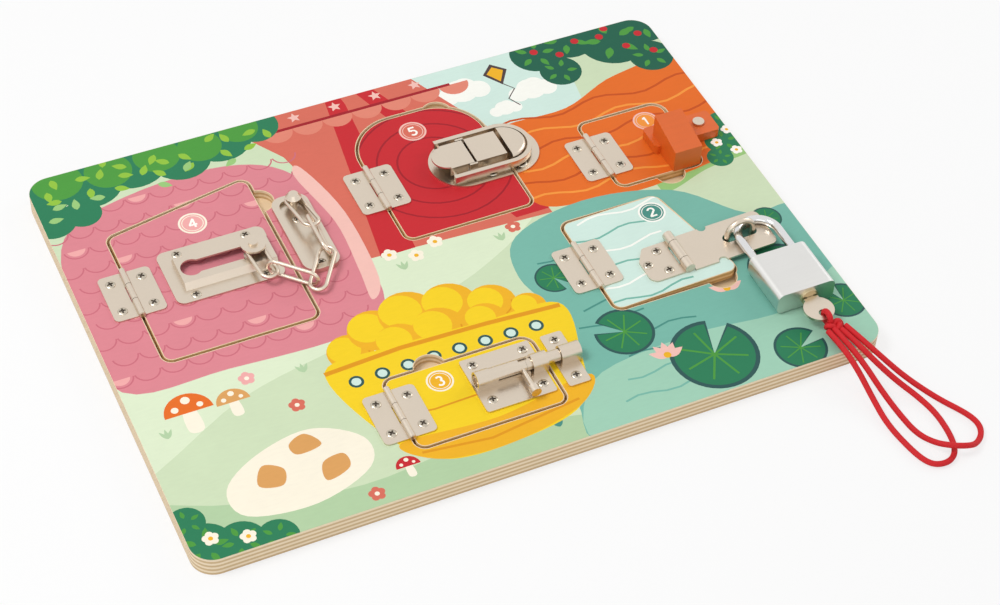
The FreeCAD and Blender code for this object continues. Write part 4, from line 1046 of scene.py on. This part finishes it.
@dataclass(frozen=True)
class Head:
    """The domed head of a screw with its cross recess, in millimetres."""

    radius: float = 2.95
    height: float = 0.75
    arm: float = 1.75
    arm_width: float = 0.62
    recess: float = 0.7
    spread: float = 0.12
    taper: float = 0.4
    fullness: float = 2.6
    skirt: float = 0.15
    rings: int = 14
    steps: int = 48
    first_turn: float = 0.7
    next_turn: float = 1.9

    def level(self, across: float, along: float) -> float:
        """Height of the head's surface at a place.

        Args:
            across, along: the place from the head's middle.

        Returns:
            The height over the plate.
        """
        far = min(math.hypot(across, along) / self.radius, 1.0)
        dome = self.height * math.sqrt(max(1 - far ** self.fullness, 0.0))
        return dome - self.recess * (1 - self.taper * far) if self.inside(across, along) else dome

    def inside(self, across: float, along: float) -> bool:
        """Whether a place lies in the cross recess.

        Args:
            across, along: the place from the head's middle.

        Returns:
            True in one of the four arms.
        """
        half = self.arm_width / 2 + self.spread
        return abs(across) < half and abs(along) < self.arm or abs(along) < half and abs(across) < self.arm


@dataclass
class ScrewHeads:
    """Domed heads laid over the countersunk screws."""

    materials: Materials
    head: Head = field(default_factory=Head)

    def build(self) -> None:
        """Put a head on every screw of every screw group."""
        steel = self.materials.surface("screw_heads", SCREW)
        # The recess material is painted shade, darker than the heads' own steel
        shade = self.materials.surface("screw_recess_painted_shade", RECESS_PAINTED_SHADE)
        for name in sorted(FRAME["nodes"]):
            if name.endswith("_screws"):
                self.group(name, steel, shade)

    def group(self, name: str, steel: bpy.types.Material, shade: bpy.types.Material) -> None:
        """Make the heads of one group of screws.

        Args:
            name: the group's CAD node.
            steel: their material.
            shade: the darker material in the recesses, painted shade.
        """
        tilt = math.radians(DOOR_2_AJAR) if name == "door_2_screws" else 0.0
        mesh = bmesh.new()
        for number, (middle, top) in enumerate(self.screws(name)):
            place = Matrix.Translation((middle.x, middle.y, top)) @ Matrix.Rotation(-tilt, 4, "Y")
            turn = self.head.first_turn + number * self.head.next_turn
            self.one(mesh, place @ Matrix.Rotation(turn, 4, "Z") @ Matrix.Scale(MM, 4))
        data = bpy.data.meshes.new(name + "_heads")
        bmesh.ops.recalc_face_normals(mesh, faces=mesh.faces)
        mesh.to_mesh(data)
        mesh.free()
        data.materials.append(steel)
        data.materials.append(shade)
        placed(name + "_heads", data, FRAME["nodes"][name]["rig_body"])

    def screws(self, name: str) -> list[tuple[Vector, float]]:
        """Where the screws of a group are, always in the same order.

        Args:
            name: the group's CAD node.

        Returns:
            The middle and the top of each screw.
        """
        mesh = bmesh.new()
        mesh.from_mesh(FRAME["nodes"][name].data)
        bmesh.ops.remove_doubles(mesh, verts=mesh.verts, dist=WELD)
        left = set(mesh.verts)
        found = []
        for seed in mesh.verts:
            if seed not in left:
                continue
            left.discard(seed)
            edge = [seed]
            screw = [seed]
            while edge:
                vert = edge.pop()
                for link in vert.link_edges:
                    other = link.other_vert(vert)
                    if other in left:
                        left.discard(other)
                        edge.append(other)
                        screw.append(other)
            low = [min(v.co[axis] for v in screw) for axis in range(3)]
            high = [max(v.co[axis] for v in screw) for axis in range(3)]
            middle = Vector(((low[0] + high[0]) / 2, (low[1] + high[1]) / 2, 0))
            if name != "door_2_screws":
                top = [v.co.x for v in screw if v.co.z > high[2] - SCREW_TOP]
                middle.x = (min(top) + max(top)) / 2
            found.append((middle, high[2]))
        mesh.free()
        return found

    def one(self, mesh: bmesh.types.BMesh, place: Matrix) -> None:
        """Add one closed head.

        Args:
            mesh: the mesh it goes into.
            place: where it stands, from millimetres.
        """
        head = self.head
        old = set(mesh.verts)
        profile = [mesh.verts.new((head.radius * ring / head.rings, 0, 0)) for ring in range(head.rings + 1)]
        profile.append(mesh.verts.new((head.radius, 0, -head.skirt)))
        lines = [mesh.edges.new(pair) for pair in zip(profile, profile[1:])]
        bmesh.ops.spin(mesh, geom=profile + lines, cent=(0, 0, 0), axis=(0, 0, 1), dvec=(0, 0, 0),
                       angle=2 * math.pi, steps=head.steps, use_merge=True, use_duplicate=False)
        bmesh.ops.remove_doubles(mesh, verts=[v for v in mesh.verts if v not in old], dist=1e-4)
        verts = [vert for vert in mesh.verts if vert not in old]
        faces = [face for face in mesh.faces if face.verts[0] not in old]
        rim = [edge for edge in mesh.edges if edge.is_boundary and edge.verts[0] not in old]
        bmesh.ops.holes_fill(mesh, edges=rim, sides=0)
        for vert in verts:
            if vert.co.z > -head.skirt / 2:
                vert.co.z = head.level(vert.co.x, vert.co.y)
        for face in faces:
            middle = face.calc_center_median()
            # Faces in the cross recess take the darker material, which is painted shade
            face.material_index = int(head.inside(middle.x, middle.y))
        bmesh.ops.transform(mesh, matrix=place, verts=verts)


# The cord's route, in millimetres from the board's front left corner
LOOP_A = (
    (368.7, 12.5, 17.5), (370, -1, 17.9), (372, -15, 13.1), (373.6, -30.2, 4.9),
    (373, -47.8, 1.9), (375.5, -67.7, 1.9), (378.4, -77.7, 1.9), (382.9, -82.3, 1.9),
    (390.7, -82.9, 1.9), (397.1, -78, 1.9), (400.6, -67.3, 1.9), (401.7, -50.9, 1.9),
    (398, -36.8, 2.9), (390.6, -25, 7.1), (383.4, -12.6, 13.5), (378.5, 0.2, 17.9),
    (376, 12.5, 17.5),
)
LOOP_B = (
    (372.5, 12.6, 17.7), (373.9, -1.2, 18.3), (376.7, -15.4, 13.9), (379.6, -29.7, 7.1),
    (382.3, -43.4, 2.7), (384, -59, 2.1), (387.8, -70.6, 5.1), (394, -77.6, 7.5), (402, -80.8, 7.1),
    (410, -78.4, 2.5), (416.6, -73.2, 1.9), (419.2, -66, 1.9), (416.7, -57, 1.9),
    (407.7, -42.6, 2.3), (396.4, -25.6, 7.3), (387.9, -10.8, 13.9), (382.2, 1.2, 18.1),
    (379.7, 12.6, 17.7),
)
CORD_DIAMETER = 0.0033


@dataclass
class KeyCord:
    """The red cord on the key: a knot and two loops."""

    materials: Materials
    knot_middle: tuple[float, float, float] = (374.2, 14.6, 17.0)
    knot_half: tuple[float, float, float] = (5.0, 2.5, 2.0)
    knot_steps: int = 60
    eye_middle: tuple[float, float, float] = (372.2, 20.2, 19.7)
    eye_half: Point = (3.6, 3.4)
    eye_steps: int = 28

    def build(self) -> None:
        """Replace the cord's CAD solids with smooth curves and a soft knot."""
        red = self.materials.surface("cord_red", CORD_RED)
        knot = self.knot(red)
        for name, route, length in (("loop_a", LOOP_A, 0.214), ("loop_b", LOOP_B, 0.221)):
            self.loop(name, route, length, red, knot)

    def tube(self, name: str) -> bpy.types.Curve:
        """A curve as thick as the cord, still without a line.

        Args:
            name: its name.

        Returns:
            The curve.
        """
        curve = bpy.data.curves.new(name, "CURVE")
        curve.dimensions = "3D"
        curve.bevel_depth = CORD_DIAMETER / 2
        curve.bevel_resolution = 4
        return curve

    def line(self, curve: bpy.types.Curve, kind: str, route: Route) -> bpy.types.Spline:
        """Add a line to a curve.

        Args:
            curve: the curve.
            kind: the spline's type.
            route: its points in millimetres on the board.

        Returns:
            The spline.
        """
        spline = curve.splines.new(kind)
        spline.points.add(len(route) - 1)
        for point, spot in zip(spline.points, route):
            point.co = (*metres(*spot), 1)
        return spline

    def loop(self, name: str, route: Route, length: float, red: bpy.types.Material,
             knot: bpy.types.Object) -> None:
        """One loop of the cord.

        Args:
            name: end of its name.
            route: its points.
            length: its real length in metres; not used.
            red: its material.
            knot: the knot it starts from; not used.
        """
        curve = self.tube(f"cord_{name}")
        curve.use_fill_caps = True
        spline = self.line(curve, "NURBS", route)
        spline.order_u = 3
        spline.use_endpoint_u = True
        spline.resolution_u = 8
        curve.materials.append(red)
        piece = placed(f"cord_{name}", curve, "key")
        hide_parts(f"key_cord_{name}")

    def knot(self, red: bpy.types.Material) -> bpy.types.Object:
        """The overhand knot and the eye through the key, as one wound tube.

        Args:
            red: its material.

        Returns:
            The knot.
        """
        x, y, z = self.knot_middle
        wide, deep, high = self.knot_half
        wound = []
        for step in range(self.knot_steps):
            turn = 2 * math.pi * step / self.knot_steps
            across = (math.sin(turn) + 2 * math.sin(2 * turn)) / 3
            along = (math.cos(turn) - 2 * math.cos(2 * turn)) / 3
            wound.append((x + across * wide, y + along * deep, z - high * math.sin(3 * turn)))
        x, y, z = self.eye_middle
        deep, high = self.eye_half
        turns = [2 * math.pi * step / self.eye_steps for step in range(self.eye_steps)]
        eye = [(x, y + deep * math.cos(turn), z + high * math.sin(turn)) for turn in turns]
        curve = self.tube("cord_knot_line")
        for route in (wound, eye):
            self.line(curve, "POLY", route).use_cyclic_u = True
        line_object = bpy.data.objects.new("cord_knot_line", curve)
        data = bpy.data.meshes.new_from_object(line_object)
        bpy.data.objects.remove(line_object)
        bpy.data.curves.remove(curve)
        data.name = "cord_knot"
        data.materials.clear()
        data.materials.append(red)
        for polygon in data.polygons:
            polygon.use_smooth = True
        piece = placed("cord_knot", data, "key")
        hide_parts("key_cord_knot")
        return piece


def seen_rays(shader: Shader) -> Socket:
    """Pick the rays that show the backdrop: camera, mirror and glass rays.

    Args:
        shader: the material or world they are for.

    Returns:
        A socket that is 1 for these rays.
    """
    rays = shader.node("ShaderNodeLightPath")
    found = rays.outputs["Is Camera Ray"]
    for name in ("Is Glossy Ray", "Is Transmission Ray"):
        found = shader.maths("MAXIMUM", found, rays.outputs[name])
    return found


@dataclass(frozen=True)
class CameraPlace:
    """Where the photograph was taken from, in metres in the board's frame."""

    spot: tuple[float, float, float] = (-0.38283, -0.83306, 0.94210)
    right: tuple[float, float, float] = (0.90869, -0.41607, 0.03430)
    down: tuple[float, float, float] = (-0.28036, -0.66905, -0.68831)
    ahead: tuple[float, float, float] = (0.30934, 0.61584, -0.72460)
    lens: float = 83.48


@dataclass
class Studio:
    """Camera, lamps and white surroundings."""

    place: CameraPlace = field(default_factory=CameraPlace)
    floor_size: float = 3.0
    floor_drop: float = 0.0003
    floor_glow: float = 0.72
    ambient: float = 0.62

    def build(self) -> None:
        """Set up everything round the object."""
        scene = bpy.context.scene
        scene.render.resolution_x = 1000
        scene.render.resolution_y = 605
        scene.view_settings.view_transform = "Standard"
        scene.view_settings.look = "None"
        self.camera(scene)
        self.world(scene)
        self.floor()
        # Each lamp's place in metres, power in watts and size in metres
        self.lamp("key_lamp", (-0.7, 0.1, 1.3), 9.0, 0.5)
        self.lamp("front_lamp", (-0.5, -1.2, 0.3), 3.0, 1.2)
        self.lamp("side_lamp", (1.2, 0.2, 0.7), 3.0, 0.6)

    def camera(self, scene: bpy.types.Scene) -> None:
        """Place the camera.

        Args:
            scene: the scene.
        """
        data = bpy.data.cameras.new("camera")
        data.lens = self.place.lens
        data.sensor_width = 36
        data.clip_start = 0.01
        camera = bpy.data.objects.new("camera", data)
        scene.collection.objects.link(camera)
        columns = (self.place.right, [-x for x in self.place.down], [-x for x in self.place.ahead])
        matrix = Matrix([[columns[c][r] for c in range(3)] for r in range(3)]).to_4x4()
        matrix.translation = self.place.spot
        camera.matrix_world = matrix
        scene.camera = camera

    def world(self, scene: bpy.types.Scene) -> None:
        """White for the camera and a soft grey gradient for the light.

        Args:
            scene: the scene.
        """
        world = bpy.data.worlds.new("surroundings")
        scene.world = world
        world.use_nodes = True
        shader = Shader(world.node_tree)
        tree = world.node_tree
        backdrop = tree.nodes["Background"]
        backdrop.inputs["Color"].default_value = (1, 1, 1, 1)
        backdrop.inputs["Strength"].default_value = 1.0
        soft = shader.node("ShaderNodeBackground")
        soft.inputs["Strength"].default_value = self.ambient
        way = shader.node("ShaderNodeTexCoord")
        split = shader.node("ShaderNodeSeparateXYZ")
        shader.join(way.outputs["Generated"], split.inputs[0])
        ramp = shader.node("ShaderNodeValToRGB")
        ramp.color_ramp.elements[0].color = (0.66, 0.65, 0.63, 1)
        ramp.color_ramp.elements[1].position = 0.55
        ramp.color_ramp.elements[1].color = (1, 1, 1, 1)
        shader.join(split.outputs["Z"], ramp.inputs[0])
        shader.join(ramp.outputs[0], soft.inputs["Color"])
        shader.mixed(seen_rays(shader), soft.outputs[0], backdrop.outputs[0],
                     tree.nodes["World Output"].inputs["Surface"])

    def floor(self) -> None:
        """A wide pale floor that keeps the object's shadow."""
        mesh = bmesh.new()
        bmesh.ops.create_grid(mesh, x_segments=1, y_segments=1, size=self.floor_size)
        bmesh.ops.translate(mesh, verts=mesh.verts, vec=(0, 0, -self.floor_drop))
        data = bpy.data.meshes.new("floor")
        mesh.to_mesh(data)
        mesh.free()
        material = bpy.data.materials.new("floor")
        material.use_nodes = True
        shader = Shader(material.node_tree)
        main = material.node_tree.nodes["Principled BSDF"]
        main.inputs["Base Color"].default_value = (0.86, 0.86, 0.86, 1)
        main.inputs["Roughness"].default_value = 0.9
        main.inputs["Specular IOR Level"].default_value = 0.0
        glow = shader.node("ShaderNodeEmission")
        glow.inputs["Strength"].default_value = 1.0
        shader.mixed(shader.maths("MULTIPLY", seen_rays(shader), self.floor_glow), main.outputs[0],
                     glow.outputs[0], material.node_tree.nodes["Material Output"].inputs["Surface"])
        data.materials.append(material)
        floor = bpy.data.objects.new("floor", data)
        bpy.context.scene.collection.objects.link(floor)

    def lamp(self, name: str, spot: tuple[float, float, float], power: float, size: float) -> None:
        """A square lamp that looks at the board.

        Args:
            name: its name.
            spot: its place in metres.
            power: its power in watts.
            size: its side in metres.
        """
        data = bpy.data.lights.new(name, "AREA")
        data.energy = power
        data.size = size
        lamp = bpy.data.objects.new(name, data)
        bpy.context.scene.collection.objects.link(lamp)
        lamp.location = spot
        lamp.rotation_euler = (-Vector(spot)).to_track_quat("-Z", "Y").to_euler()


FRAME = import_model()


def main() -> None:
    """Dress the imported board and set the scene."""
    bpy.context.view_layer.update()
    materials = Materials()
    for maker in (Hardware(materials), PrintedBoard(materials), ScrewHeads(materials), KeyCord(materials),
                  Studio()):
        maker.build()
        LOG.info("%s is built", type(maker).__name__)
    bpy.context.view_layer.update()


if __name__ == "__main__":
    logging.basicConfig(level=logging.INFO)
    main()
